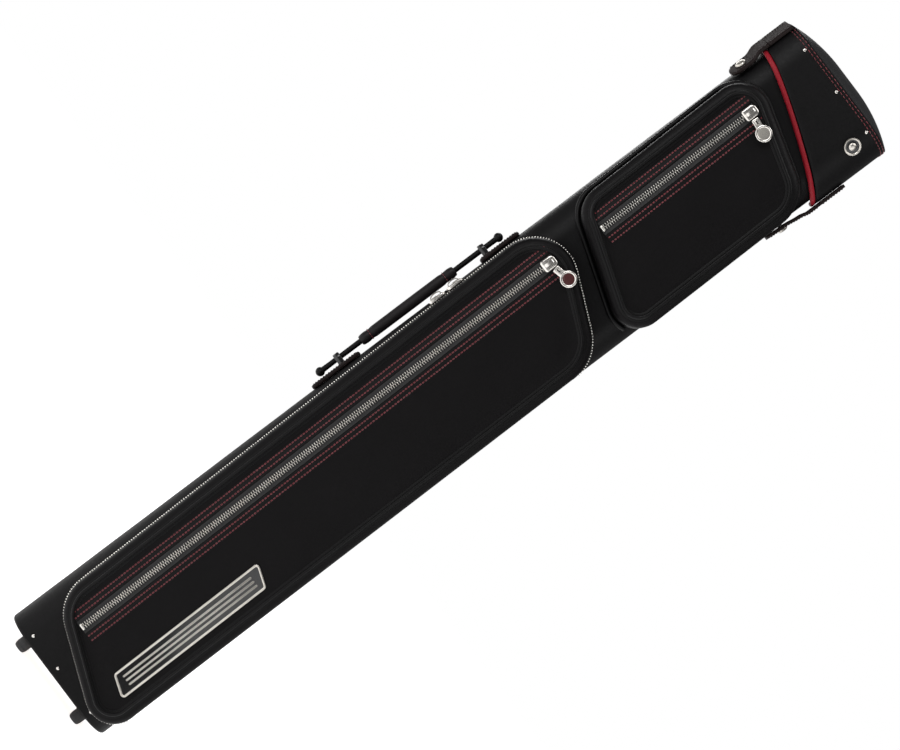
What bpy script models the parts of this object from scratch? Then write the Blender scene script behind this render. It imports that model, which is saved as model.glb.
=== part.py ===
"""A hard cue case: an oval-cornered tube body on four feet, a hinged lid with two snap straps,
a large and a small zipped pocket on the front, and a carrying handle on the left side.

Sizes below are in millimetres and are turned into metres as each mesh is made.
Across the case is X (the handle is on the -X side), the pockets face -Y, and the length runs up +Z.
Lengths along the case are measured from a datum FOOT_HEIGHT above the bottom of the feet.
"""

import math

import bmesh
import bpy
from mathutils import Vector

MM = 0.001

# Middle of the whole case, pulls and handle included, seen from above.
CENTRE_X = -2.7
CENTRE_Y = -14.85

# Body tube
BODY_HALF_X = 65.0
BODY_HALF_Y = 33.0
BODY_RADIUS = 27.0
BODY_WALL = 3.0
BODY_LOW = 5.0
BODY_TOP = 842.0
CORNER_X = BODY_HALF_X - BODY_RADIUS
CORNER_Y = BODY_HALF_Y - BODY_RADIUS
GAP = 0.3

# Base
PLUG_TOP = 17.0
FOOT_HEIGHT = 6.5
FOOT_RADIUS = 6.2
FOOT_X = 39.5
FOOT_Y = 18.5
RIVET_PLACES = ("left", "middle", "right")
BASE_RIVET_X = (-40.0, -4.5, 43.4)
BASE_RIVET_Z = 13.0

# Tubes inside the body
BUTT_RADIUS = 17.5
BUTT_X = 18.3
SHAFT_RADIUS = 11.5
SHAFT_X = 47.2
SHAFT_Y = 12.4
TUBE_WALL = 1.5
TUBE_TOP = 847.0
COLLAR_LOW = 824.0
COLLAR_TOP = 848.0

# Lid
LID_OUT = 6.0
LID_CLEAR = 1.3
LID_HALF_X = BODY_HALF_X + LID_OUT
LID_HALF_Y = BODY_HALF_Y + LID_OUT
LID_EDGE_LEFT = 835.9
LID_EDGE_DROP = 46.0
LID_EDGE_POWER = 1.3
LID_EDGE_BACK = 836.0
LID_SIDE_TOP = 865.0
LID_DOME_TOP = 879.0
DOME_LIP = 0.05
DOME_POWER = 2.5
LID_PIPING_RADIUS = 2.3
LID_PIPING_INSET = 2.4
LID_PIPING_END_Y = 18.0
LID_PLUG_LOW = 856.0
LID_PAD_SPAN = (851.5, 855.7)
LID_RIVET_X = (-43.0, 2.9, 46.7)
LID_RIVET_Z = 858.5
LID_PIVOT_Y = 41.0
LID_PIVOT_Z = 835.0
HINGE_HALF_WIDTH = 31.0
HINGE_ROLL = 1.6
EMBLEM_X = 49.2
EMBLEM_Z = 841.3
EMBLEM_RADIUS = 8.0

# Snap straps
STRAP_THICK = 3.0
STRAP_HALF_WIDTH = 10.0
LEFT_STRAP_ANGLE = 26.0

# Handle
HANDLE_X = -74.5
HANDLE_CORD_RADIUS = 2.56
GRIP_RADIUS = 5.25
GRIP_SPAN = (396.0, 500.0)
STOP_RADIUS = 4.25
STOP_Z = (351.0, 548.5)
LOOP_Z = (371.0, 531.0)
TAB_SPAN = ((337.0, 389.0), (523.0, 565.0))
TAB_THICK = 3.6

# Pockets: seam corners as (across, along), anticlockwise seen from the front
LARGE_SEAM = ((60.6, 16.6), (56.1, 545.9), (-53.7, 594.0), (-44.9, 58.5))
LARGE_SEAM_RADII = (17.0, 34.0, 29.0, 29.0)
SMALL_SEAM = ((61.0, 586.5), (58.3, 772.0), (-52.7, 804.0), (-49.4, 623.0))
SMALL_SEAM_RADII = (17.0, 29.0, 20.0, 20.0)
LARGE_ROLL = 8.0
SMALL_ROLL = 7.0
POCKET_WALL = 3.5
POCKET_BACK = -35.6
POCKET_SKIRT = -14.0
LARGE_FACE = -64.0
SMALL_FACE = -62.0
LARGE_SPLIT = -47.0
SMALL_SPLIT = -50.0

# Zips: slider seats and chain ends as (across, along)
LARGE_ZIP = ((-20.4, 62.0), (-28.2, 567.0))
SMALL_ZIP = ((-24.7, 627.5), (-27.6, 784.0))
TAPE_WIDTH = 12.4
CHAIN_WIDTH = 6.5
TAPE_LIFT = 1.0
CHAIN_LIFT = 2.8
ZIP_OVERRUN = 6.6
SLIDER_LENGTH = 13.6
SLIDER_WIDTH = 11.0
PULL_LENGTH = 22.0
PULL_THICK = 1.7
PULL_LIFT = 5.45
PULL_RECESS_DEPTH = 0.45
PULL_DISC_RADIUS = 7.5
NAMEPLATE = ((39.6, 50.0), (37.4, 208.0))
PERIMETER_SLIDER_Z = (472.5, 491.5)

FINISHES = {
    "leather": ((0.012, 0.012, 0.013), 0.42, 0.0),
    "brown_leather": ((0.055, 0.035, 0.028), 0.5, 0.0),
    "red": ((0.16, 0.008, 0.018), 0.55, 0.0),
    "fabric": ((0.012, 0.011, 0.012), 0.85, 0.0),
    "lining": ((0.05, 0.01, 0.015), 0.9, 0.0),
    "nickel": ((0.72, 0.71, 0.69), 0.22, 1.0),
    "zip_metal": ((0.42, 0.41, 0.39), 0.32, 1.0),
    "plastic": ((0.01, 0.01, 0.011), 0.25, 0.0),
    "rubber": ((0.015, 0.015, 0.016), 0.7, 0.0),
    "board": ((0.22, 0.15, 0.09), 0.8, 0.0),
}


def clear_scene():
    """Removes whatever the file holds."""
    for old in list(bpy.data.objects):
        bpy.data.objects.remove(old, do_unlink=True)


def give_material(target, finish):
    """Adds the piece's own material."""
    colour, roughness, metallic = FINISHES[finish]
    made = bpy.data.materials.new(target.name)
    made.use_nodes = True
    shader = made.node_tree.nodes["Principled BSDF"]
    shader.inputs["Base Color"].default_value = (*colour, 1.0)
    shader.inputs["Roughness"].default_value = roughness
    shader.inputs["Metallic"].default_value = metallic
    made.diffuse_color = (*colour, 1.0)
    target.data.materials.append(made)


def to_frame(point):
    """Case millimetres (across, depth, along) to metres in the part's frame."""
    return Vector((point[0] - CENTRE_X, point[1] - CENTRE_Y, point[2] + FOOT_HEIGHT)) * MM


def add_solid(mesh, loops, ring=False):
    """Joins equal loops in order into one closed solid, capped at both ends unless it is a ring."""
    rows = [[mesh.verts.new(point) for point in loop] for loop in loops]
    count = len(rows[0])
    pairs = list(zip(rows, rows[1:]))
    if ring:
        pairs.append((rows[-1], rows[0]))
    for low, high in pairs:
        for first in range(count):
            second = (first + 1) % count
            mesh.faces.new((low[first], low[second], high[second], high[first]))
    if not ring:
        mesh.faces.new(rows[0][::-1])
        mesh.faces.new(rows[-1])


def new_node(name, solids, finish, pivot=None):
    """One named object from its solids, each (loops, ring), with its origin on its pivot."""
    origin = to_frame(pivot) if pivot else Vector((0.0, 0.0, 0.0))
    work = bmesh.new()
    for loops, ring in solids:
        moved = [[to_frame(point) - origin for point in loop] for loop in loops]
        add_solid(work, moved, ring)
    bmesh.ops.recalc_face_normals(work, faces=work.faces)
    data = bpy.data.meshes.new(name)
    work.to_mesh(data)
    work.free()
    data.shade_smooth()
    data.set_sharp_from_angle(angle=math.radians(32.0))
    made = bpy.data.objects.new(name, data)
    made.location = origin
    bpy.context.scene.collection.objects.link(made)
    give_material(made, finish)
    return made


def new_cutter(name, solids):
    """A hidden solid that Booleans take away from other pieces."""
    cutter = new_node(name, solids, "leather")
    cutter.hide_render = True
    cutter.display_type = "WIRE"
    return cutter


def cut(target, cutter):
    """Takes the cutter out of the target."""
    step = target.modifiers.new("cut_" + cutter.name, "BOOLEAN")
    step.operation = "DIFFERENCE"
    step.solver = "EXACT"
    step.object = cutter


def rounded(corners, radii, inset=0.0, steps=6):
    """Anticlockwise polygon with every edge moved inwards by inset and every corner rounded."""
    count = len(corners)
    moved = []
    for index in range(count):
        before = Vector(corners[index - 1])
        here = Vector(corners[index])
        after = Vector(corners[(index + 1) % count])
        first = (here - before).normalized()
        second = (after - here).normalized()
        left_first = Vector((-first.y, first.x))
        left_second = Vector((-second.y, second.x))
        moved.append(here + (left_first + left_second) * inset / (1.0 + left_first.dot(left_second)))
    points = []
    for index in range(count):
        here = moved[index]
        back = (moved[index - 1] - here).normalized()
        on = (moved[(index + 1) % count] - here).normalized()
        angle = back.angle(on)
        radius = max(radii[index] - inset, 1.0)
        centre = here + (back + on).normalized() * radius / math.sin(angle / 2.0)
        start = here + back * radius / math.tan(angle / 2.0) - centre
        turn = math.atan2(start.y, start.x)
        for step in range(steps + 1):
            now = turn + (math.pi - angle) * step / steps
            points.append((centre.x + radius * math.cos(now), centre.y + radius * math.sin(now)))
    return points


def box_corners(half_x, half_y, middle_x=0.0, middle_y=0.0):
    """Anticlockwise corners of a rectangle."""
    return (
        (middle_x + half_x, middle_y - half_y),
        (middle_x + half_x, middle_y + half_y),
        (middle_x - half_x, middle_y + half_y),
        (middle_x - half_x, middle_y - half_y),
    )


def body_outline(inset=0.0, steps=8):
    """Cross-section of the body, moved inwards by inset."""
    return rounded(box_corners(BODY_HALF_X, BODY_HALF_Y), (BODY_RADIUS,) * 4, inset, steps)


def level(points, along):
    """Puts cross-section points at one height."""
    return [(point[0], point[1], along) for point in points]


def facing(points, depth):
    """Puts front-view points at one depth."""
    return [(point[0], depth, point[1]) for point in points]


def turned(centre, axis, profile, steps=20):
    """Loops of a solid turned about an axis: profile holds (radius, distance along the axis)."""
    direction = Vector(axis).normalized()
    helper = Vector((0.0, 0.0, 1.0)) if abs(direction.z) < 0.9 else Vector((1.0, 0.0, 0.0))
    side = direction.cross(helper).normalized()
    up = direction.cross(side)
    loops = []
    for radius, distance in profile:
        ring = []
        for step in range(steps):
            angle = 2.0 * math.pi * step / steps
            offset = side * radius * math.cos(angle) + up * radius * math.sin(angle)
            ring.append(tuple(Vector(centre) + direction * distance + offset))
        loops.append(ring)
    return loops


def dome(centre, axis, radius, height, steps=12):
    """A rivet or snap head: a short rim and a domed top."""
    profile = [(radius, 0.0), (radius, height * 0.35), (radius * 0.8, height * 0.8), (radius * 0.4, height)]
    return turned(centre, axis, profile, steps)


def swept(path, normals, section):
    """Carries a section (outwards, across) along a path, where each point has its two directions."""
    loops = []
    for point, (out, over) in zip(path, normals):
        loops.append([tuple(Vector(point) + Vector(out) * a + Vector(over) * b) for a, b in section])
    return loops


def circle_section(radius, steps=8):
    """Round section for cords and pipings."""
    turns = [2.0 * math.pi * step / steps for step in range(steps)]
    return [(radius * math.cos(turn), radius * math.sin(turn)) for turn in turns]


def rectangle_section(low_out, high_out, low_over, high_over):
    """Flat section for tapes and strips."""
    return [(low_out, low_over), (high_out, low_over), (high_out, high_over), (low_out, high_over)]


def out_directions(points, closed):
    """Outward direction at each point of an anticlockwise plane path."""
    count = len(points)
    directions = []
    for index in range(count):
        before = points[index - 1] if closed or index > 0 else points[index]
        after = points[(index + 1) % count] if closed or index < count - 1 else points[index]
        along = (Vector(after) - Vector(before)).normalized()
        directions.append(Vector((along.y, -along.x)))
    return directions


def surface_depth(across, lift=0.0):
    """Depth of the body's front surface at a distance across, moved outwards by lift."""
    beyond = max(abs(across) - CORNER_X, 0.0)
    radius = BODY_RADIUS + lift
    return -CORNER_Y - math.sqrt(max(radius * radius - beyond * beyond, 0.0))


def build_body():
    """The leather-covered tube and its base board, feet and rivets."""
    edge = 1.5
    new_node(
        "body_shell",
        [(
            [
                level(body_outline(edge), BODY_LOW),
                level(body_outline(), BODY_LOW + edge),
                level(body_outline(), BODY_TOP - 1.0),
                level(body_outline(1.0), BODY_TOP),
                level(body_outline(BODY_WALL), BODY_TOP),
                level(body_outline(BODY_WALL), BODY_LOW),
            ],
            True,
        )],
        "leather",
    )
    plug = body_outline(BODY_WALL + GAP)
    new_node("base_plug", [([level(plug, BODY_LOW), level(plug, PLUG_TOP)], False)], "board")
    for side, across in (("left", -FOOT_X), ("right", FOOT_X)):
        for end, depth in (("front", -FOOT_Y), ("rear", FOOT_Y)):
            profile = [
                (FOOT_RADIUS, BODY_LOW - GAP),
                (FOOT_RADIUS, -2.2),
                (FOOT_RADIUS - 0.7, -5.6),
                (FOOT_RADIUS - 1.5, -FOOT_HEIGHT),
            ]
            loops = turned((across, depth, 0.0), (0.0, 0.0, 1.0), profile, 20)
            new_node("foot_" + end + "_" + side, [(loops, False)], "rubber")
    for place, across in zip(RIVET_PLACES, BASE_RIVET_X):
        head = rivet_on(across, BASE_RIVET_Z, 0.0, 1.6, 0.8)
        new_node("base_rivet_" + place, [(head, False)], "nickel")


def rivet_on(across, along, lift, radius, height):
    """A rivet head standing on the rounded front of the body or of the lid."""
    beyond = max(abs(across) - CORNER_X, 0.0)
    full = BODY_RADIUS + lift
    lean = math.asin(beyond / full) * (1.0 if across > 0.0 else -1.0)
    normal = Vector((math.sin(lean), -math.cos(lean), 0.0))
    middle = max(min(across, CORNER_X), -CORNER_X)
    centre = Vector((middle, -CORNER_Y, along)) + normal * (full + GAP)
    return dome(centre, normal, radius, height, 10)


def tube_places():
    """Name, centre and outer radius of each tube inside the case."""
    places = [
        ("butt_tube_left", -BUTT_X, 0.0, BUTT_RADIUS),
        ("butt_tube_right", BUTT_X, 0.0, BUTT_RADIUS),
    ]
    for side, sign in (("left", -1.0), ("right", 1.0)):
        places.append(("shaft_tube_front_" + side, sign * SHAFT_X, -SHAFT_Y, SHAFT_RADIUS))
        places.append(("shaft_tube_rear_" + side, sign * SHAFT_X, SHAFT_Y, SHAFT_RADIUS))
    return places


def build_tubes():
    """The tubes that hold the cue and the collar that keeps them apart at the mouth."""
    low = PLUG_TOP + GAP
    bores = []
    for name, across, depth, radius in tube_places():
        profile = [(radius, low), (radius, TUBE_TOP), (radius - TUBE_WALL, TUBE_TOP), (radius - TUBE_WALL, low)]
        new_node(name, [(turned((across, depth, 0.0), (0.0, 0.0, 1.0), profile, 24), True)], "plastic")
        bore = [(radius + GAP, COLLAR_LOW - 5.0), (radius + GAP, COLLAR_TOP + 5.0)]
        bores.append((turned((across, depth, 0.0), (0.0, 0.0, 1.0), bore, 24), False))
    outline = body_outline(BODY_WALL + GAP, 6)
    collar = new_node("tube_collar", [([level(outline, COLLAR_LOW), level(outline, COLLAR_TOP)], False)], "lining")
    cut(collar, new_cutter("collar_bores", bores))


def lid_outline(inset=0.0, steps=8):
    """Cross-section of the lid, moved inwards by inset."""
    return rounded(box_corners(BODY_HALF_X, BODY_HALF_Y), (BODY_RADIUS,) * 4, inset - LID_OUT, steps)


def smooth_step(value):
    """Eases from 0 to 1."""
    held = max(0.0, min(1.0, value))
    return held * held * (3.0 - 2.0 * held)


def lid_edge(across, depth):
    """Height of the lid's lower edge, falling along the front and rising again behind the sides."""
    share = max(0.0, min(1.0, (across + LID_HALF_X) / (2.0 * LID_HALF_X)))
    front = LID_EDGE_LEFT - LID_EDGE_DROP * share ** LID_EDGE_POWER
    return front + (LID_EDGE_BACK - front) * smooth_step((depth + 6.0) / 34.0)


def dense(points, steps):
    """The same closed outline with its long flats divided, so that the lid's edge can curve."""
    result = []
    count = len(points)
    for index in range(count):
        here = points[index]
        after = points[(index + 1) % count]
        length = math.hypot(after[0] - here[0], after[1] - here[1])
        parts = steps if length > 8.0 else 1
        for part in range(parts):
            share = part / parts
            result.append((here[0] + (after[0] - here[0]) * share, here[1] + (after[1] - here[1]) * share))
    return result


def lid_wall(inset):
    """A lid cross-section with the flats divided."""
    return dense(lid_outline(inset, 7), 8)


def build_lid():
    """Lid sleeve, domed end cap, plug, padding, piping, rivets and emblem."""
    outer = lid_wall(0.0)
    inner = lid_wall(LID_OUT - LID_CLEAR)
    lows = [lid_edge(point[0], point[1]) for point in outer]
    edge_outer = [(point[0], point[1], low) for point, low in zip(outer, lows)]
    edge_inner = [(point[0], point[1], low) for point, low in zip(inner, lows)]
    pivot = (0.0, LID_PIVOT_Y, LID_PIVOT_Z)
    new_node(
        "lid_shell",
        [([edge_outer, level(outer, LID_SIDE_TOP), level(inner, LID_SIDE_TOP), edge_inner], True)],
        "leather",
        pivot,
    )
    low = LID_SIDE_TOP + GAP
    rise = LID_DOME_TOP - low
    domed = [level(lid_outline(), low)]
    for size in (1.0, 0.96, 0.89, 0.79, 0.66, 0.5, 0.3, 0.1):
        share = DOME_LIP + (1.0 - DOME_LIP) * (1.0 - size ** DOME_POWER)
        domed.append([(point[0] * size, point[1] * size, low + rise * share) for point in lid_outline()])
    new_node("lid_dome", [(domed, False)], "leather", pivot)
    plug = lid_outline(LID_OUT - LID_CLEAR + GAP)
    new_node("lid_plug", [([level(plug, LID_PLUG_LOW), level(plug, LID_SIDE_TOP)], False)], "board", pivot)
    pad = lid_outline(LID_OUT - LID_CLEAR + 1.0)
    new_node("lid_pad", [([level(pad, along) for along in LID_PAD_SPAN], False)], "lining", pivot)
    build_lid_piping(pivot)
    for place, across in zip(RIVET_PLACES, LID_RIVET_X):
        head = rivet_on(across, LID_RIVET_Z, LID_OUT, 1.5, 0.8)
        new_node("lid_rivet_" + place, [(head, False)], "nickel", pivot)
    lean = math.asin((EMBLEM_X - CORNER_X) / (BODY_RADIUS + LID_OUT))
    normal = Vector((math.sin(lean), -math.cos(lean), 0.0))
    centre = Vector((CORNER_X, -CORNER_Y, EMBLEM_Z)) + normal * (BODY_RADIUS + LID_OUT + GAP)
    profile = [(EMBLEM_RADIUS, 0.0), (EMBLEM_RADIUS, 1.3), (EMBLEM_RADIUS - 0.5, 1.6), (EMBLEM_RADIUS - 1.7, 1.6)]
    profile += [(EMBLEM_RADIUS - 2.2, 0.8), (3.0, 0.8), (2.6, 1.5), (1.0, 1.8)]
    new_node("lid_emblem", [(turned(centre, normal, profile, 28), False)], "nickel", pivot)


def build_lid_piping(pivot):
    """Round cord under the lid's lower edge, open at the back where the hinge strip is."""
    inset = LID_PIPING_INSET
    cord = lid_wall(inset)
    kept = [point for point in cord if point[1] < LID_PIPING_END_Y]
    kept.sort(key=lambda point: math.atan2(point[0], -point[1]))
    directions = out_directions(kept, False)
    wide = LID_HALF_X / (LID_HALF_X - inset)
    deep = LID_HALF_Y / (LID_HALF_Y - inset)
    edges = [lid_edge(point[0] * wide, point[1] * deep) for point in kept]
    path = []
    for index, point in enumerate(kept):
        first = max(index - 1, 0)
        last = min(index + 1, len(kept) - 1)
        run = math.hypot(kept[last][0] - kept[first][0], kept[last][1] - kept[first][1])
        slope = (edges[last] - edges[first]) / run
        drop = (LID_PIPING_RADIUS + 3.0 * GAP) * math.sqrt(1.0 + slope * slope)
        path.append((point[0], point[1], edges[index] - drop))
    normals = []
    for index, out in enumerate(directions):
        before = Vector(path[max(index - 1, 0)])
        after = Vector(path[min(index + 1, len(path) - 1)])
        along = (after - before).normalized()
        level_out = Vector((out.x, out.y, 0.0))
        over = level_out.cross(along).normalized()
        normals.append((level_out, over))
    loops = swept(path, normals, circle_section(LID_PIPING_RADIUS, 8))
    new_node("lid_piping", [(loops, False)], "red", pivot)


def build_hinge():
    """Leather hinge strip behind the lid: a rolled upper half on the lid, a lower half on the body."""
    pivot = (0.0, LID_PIVOT_Y, LID_PIVOT_Z)
    half = HINGE_HALF_WIDTH
    profile = []
    roll = HINGE_ROLL
    lower = LID_HALF_Y + GAP
    for step in range(9):
        turn = math.radians(-215.0 + 250.0 * step / 8.0)
        profile.append((LID_PIVOT_Y + roll * math.cos(turn), LID_PIVOT_Z + roll * math.sin(turn)))
    profile += [(LID_PIVOT_Y + 1.2, 859.0), (lower, 860.0)]
    profile += [(lower, LID_PIVOT_Z + 1.5)]
    loops = [[(across, point[0], point[1]) for point in profile] for across in (-half, half)]
    new_node("hinge_flap_lid", [(loops, False)], "leather", pivot)
    low = BODY_HALF_Y + GAP
    profile = [(low, 786.0), (low + 2.6, 788.0), (low + 2.8, 816.0), (LID_PIVOT_Y + 0.6, 826.0)]
    profile += [(LID_PIVOT_Y + 0.6, 832.6), (LID_PIVOT_Y - 2.2, 832.6), (low, 826.0)]
    loops = [[(across, point[0], point[1]) for point in profile] for across in (-half, half)]
    new_node("hinge_flap_body", [(loops, False)], "leather")


def strap_stations(low, high, end_radius):
    """Places along a strap with its half width there: its lower end is rounded by end_radius."""
    stations = []
    for step in range(5):
        turn = math.radians(15.0 + 75.0 * step / 4.0)
        aside = STRAP_HALF_WIDTH - end_radius * (1.0 - math.sin(turn))
        stations.append((low + end_radius * (1.0 - math.cos(turn)), aside))
    first = stations[-1][0]
    parts = max(1, round((high - first) / 7.0))
    for part in range(1, parts + 1):
        stations.append((first + (high - first) * part / parts, STRAP_HALF_WIDTH))
    return stations


def strap_solid(centre, out, sideways, stations, lifts):
    """A strap as a bent sheet: its distance from the case follows lifts, a list of (along, lift)."""
    loops = []
    for along, half in stations:
        lift = lift_at(lifts, along)
        middle = Vector((centre[0], centre[1], along))
        corners = ((-half, lift), (half, lift), (half, lift + STRAP_THICK), (-half, lift + STRAP_THICK))
        loops.append([tuple(middle + sideways * aside + out * above) for aside, above in corners])
    return loops


def lift_at(lifts, along):
    """Straight-line reading between the listed lifts."""
    for low, high in zip(lifts, lifts[1:]):
        if along <= high[0]:
            share = max(0.0, (along - low[0]) / (high[0] - low[0]))
            return low[1] + (high[1] - low[1]) * share
    return lifts[-1][1]


def build_strap(side, centre, out, sideways, tail, base, lifts, snap_z):
    """One snap strap: the sewn base on the lid, the hinged tail, its snap cap and the stud under it."""
    fold = tail[1]
    lift = lift_at(lifts, fold)
    base_loops = strap_solid(centre, out, sideways, strap_stations(base[0], base[1], 0.5), lifts)
    new_node("strap_base_" + side, [(base_loops, False)], "brown_leather", (0.0, LID_PIVOT_Y, LID_PIVOT_Z))
    pivot = Vector((centre[0], centre[1], fold)) + out * (lift + STRAP_THICK)
    tail_loops = strap_solid(centre, out, sideways, strap_stations(tail[0], tail[1], 9.0), lifts)
    new_node("strap_tail_" + side, [(tail_loops, False)], "brown_leather", tuple(pivot))
    over = lift_at(lifts, snap_z)
    cap = Vector((centre[0], centre[1], snap_z)) + out * (over + STRAP_THICK + GAP + 0.3)
    new_node("snap_cap_" + side, [(dome(cap, out, 5.0, 1.9, 20), False)], "nickel", tuple(pivot))
    reach = BODY_HALF_X if side == "right" else BODY_RADIUS
    stud = Vector((centre[0], centre[1], snap_z)) + out * (reach + GAP)
    height = over - reach - 2.0 * GAP
    profile = [(4.0, 0.0), (4.0, height * 0.4), (2.6, height * 0.5), (2.6, height)]
    new_node("snap_stud_" + side, [(turned(stud, out, profile, 16), False)], "nickel")


def build_straps():
    """Snap strap on each side of the lid."""
    out = Vector((1.0, 0.0, 0.0))
    lifts = ((736.0, 67.2), (756.0, 67.8), (772.0, 69.6), (780.0, 71.4), (819.0, 71.4))
    build_strap("right", (0.0, -6.0), out, Vector((0.0, 1.0, 0.0)), (736.0, 791.0), (791.4, 818.7), lifts, 753.0)
    lean = math.radians(LEFT_STRAP_ANGLE)
    out = Vector((-math.cos(lean), -math.sin(lean), 0.0))
    sideways = Vector((out.y, -out.x, 0.0))
    lifts = ((797.0, 29.6), (817.0, 29.8), (829.0, 33.4), (838.0, 33.4), (864.0, 33.4))
    build_strap("left", (-CORNER_X, -CORNER_Y), out, sideways, (797.0, 838.0), (838.4, 864.0), lifts, 809.4)


def ball_profile(middle, first, last):
    """Turned outline of a ball end, between two angles from its middle."""
    points = []
    for step in range(9):
        turn = math.radians(first + (last - first) * step / 8.0)
        points.append((STOP_RADIUS * math.cos(turn), middle + STOP_RADIUS * math.sin(turn)))
    return points


def build_handle():
    """Rolled handle on the left side: it slides a little through its two keepers."""
    slide = (HANDLE_X, 0.0, 0.5 * (STOP_Z[0] + STOP_Z[1]))
    upright = (0.0, 0.0, 1.0)
    line = (HANDLE_X, 0.0, 0.0)
    cord = ball_profile(STOP_Z[0], -76.0, 53.0) + ball_profile(STOP_Z[1], -53.0, 76.0)
    new_node("handle_cord", [(turned(line, upright, cord, 14), False)], "leather", slide)
    bore = HANDLE_CORD_RADIUS + GAP
    start, end = GRIP_SPAN
    grip = [(bore, start), (GRIP_RADIUS - 1.2, start), (GRIP_RADIUS, start + 2.0), (GRIP_RADIUS, end - 2.0)]
    grip += [(GRIP_RADIUS - 1.2, end), (bore, end)]
    new_node("handle_grip", [(turned(line, upright, grip, 20), True)], "leather", slide)
    for name, span in zip(("lower", "upper"), TAB_SPAN):
        corners = box_corners(13.0, 0.5 * (span[1] - span[0]), 0.0, 0.5 * (span[0] + span[1]))
        inner = -(BODY_HALF_X + GAP)
        layers = ((0.0, inner), (0.0, inner - TAB_THICK + 1.2), (1.4, inner - TAB_THICK))
        loops = []
        for inset, across in layers:
            loops.append([(across, point[0], point[1]) for point in rounded(corners, (6.0,) * 4, inset, 4)])
        new_node("handle_tab_" + name, [(loops, False)], "brown_leather")
    for name, middle in zip(("lower", "upper"), LOOP_Z):
        foot = -(BODY_HALF_X + GAP + TAB_THICK + GAP)
        arch = [(foot, -4.05), (HANDLE_X + 1.0, -4.05)]
        for step in range(9):
            turn = math.radians(-90.0 + 180.0 * step / 8.0)
            arch.append((HANDLE_X - 4.05 * math.cos(turn), 4.05 * math.sin(turn)))
        arch += [(HANDLE_X + 1.0, 4.05), (foot, 4.05)]
        directions = []
        for index in range(len(arch)):
            before = Vector(arch[max(index - 1, 0)])
            after = Vector(arch[min(index + 1, len(arch) - 1)])
            along = (after - before).normalized()
            directions.append(((-along.y, along.x, 0.0), upright))
        path = [(point[0], point[1], middle) for point in arch]
        section = rectangle_section(-0.85, 0.85, -3.0, 3.0)
        new_node("handle_loop_" + name, [(swept(path, directions, section), False)], "plastic")


def pocket_outline(seam, radii, roll, inset=0.0):
    """Outer outline of a pocket, moved inwards by inset. The seam lies one roll inside it."""
    return rounded(seam, radii, inset - roll, 6)


def build_gusset(name, seam, radii, roll, rim):
    """Side wall and back of a pocket, fitted to the rounded front of the body."""
    outer = pocket_outline(seam, radii, roll)
    inner = pocket_outline(seam, radii, roll, POCKET_WALL)
    gusset = new_node(name, [([facing(outer, POCKET_SKIRT), facing(outer, rim)], False)], "leather")
    hollow = [facing(inner, POCKET_SKIRT - 2.0), facing(inner, rim - 20.0)]
    cavity = new_cutter(name + "_hollow", [(hollow, False)])
    low = seam[0][1] - 60.0
    high = seam[2][1] + 60.0
    backing = body_outline(POCKET_BACK + BODY_HALF_Y)
    lining = new_cutter(name + "_lining", [([level(backing, low), level(backing, high)], False)])
    cut(cavity, lining)
    against = body_outline(-GAP)
    body = new_cutter(name + "_seat", [([level(against, low), level(against, high)], False)])
    cut(gusset, cavity)
    cut(gusset, body)


def panel_loops(seam, radii, roll, rim, face):
    """A shallow tray with a rolled edge: inside first, round the rim, then the outside to the face."""
    layers = [
        (roll + 1.5, face + POCKET_WALL),
        (POCKET_WALL + 2.0, face + POCKET_WALL + 2.0),
        (POCKET_WALL, face + POCKET_WALL + 5.0),
        (POCKET_WALL, rim),
        (0.0, rim),
    ]
    for step in range(5):
        turn = math.radians(90.0 * step / 4.0)
        layers.append((roll - roll * math.cos(turn), face + roll - roll * math.sin(turn)))
    return [facing(pocket_outline(seam, radii, roll, inset), depth) for inset, depth in layers]


def bead(seam, radii, roll, inset, radius, face):
    """Closed round piping lying on a pocket's face."""
    points = pocket_outline(seam, radii, roll, inset)
    path = [(point[0], face - GAP - radius, point[1]) for point in points]
    normals = [((out.x, 0.0, out.y), (0.0, 1.0, 0.0)) for out in out_directions(points, True)]
    return swept(path, normals, circle_section(radius, 8))


def open_run(seam, radii, roll, inset):
    """The outline from the end of the pocket's right side, over the top, to its start again."""
    points = pocket_outline(seam, radii, roll, inset)
    return points[7:] + points[:7]


def side_strip(points, section, depth):
    """A strip along an open front-view path, its section given as (outwards, towards the back)."""
    path = [(point[0], depth, point[1]) for point in points]
    normals = [((out.x, 0.0, out.y), (0.0, 1.0, 0.0)) for out in out_directions(points, False)]
    return swept(path, normals, section)


def direction_of(start, end):
    """Unit direction between two front-view points."""
    return (Vector(end) - Vector(start)).normalized()


def plate(origin, along, aside, out, outline_at, layers):
    """A small part built up from its base: outline_at gives its plan at an inset, in its own plane."""
    loops = []
    for inset, lift in layers:
        loop = []
        for a, b in outline_at(inset):
            loop.append(tuple(Vector(origin) + along * a + aside * b + out * lift))
        loops.append(loop)
    return loops


def slider_plan(half_length, half_width):
    """Plan of a zip slider: square at one end, rounder at the other."""
    def outline_at(inset):
        return rounded(box_corners(half_length, half_width), (3.8, 3.8, 2.0, 2.0), inset, 3)
    return outline_at


def build_slider(name, place, zip_line, face):
    """Zip slider on a pocket's face, with the bridge that holds its pull."""
    along = direction_of(*zip_line)
    seat = (place[0], face, place[1])
    layers = ((0.6, 3.1), (0.0, 3.8), (0.0, 5.0), (1.2, 5.9), (3.2, 6.1), (3.2, 7.7), (3.8, 8.3))
    loops = plate(
        seat,
        Vector((along.x, 0.0, along.y)),
        Vector((-along.y, 0.0, along.x)),
        Vector((0.0, -1.0, 0.0)),
        slider_plan(0.5 * SLIDER_LENGTH, 0.5 * SLIDER_WIDTH),
        layers,
    )
    new_node(name, [(loops, False)], "nickel", seat)


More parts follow.
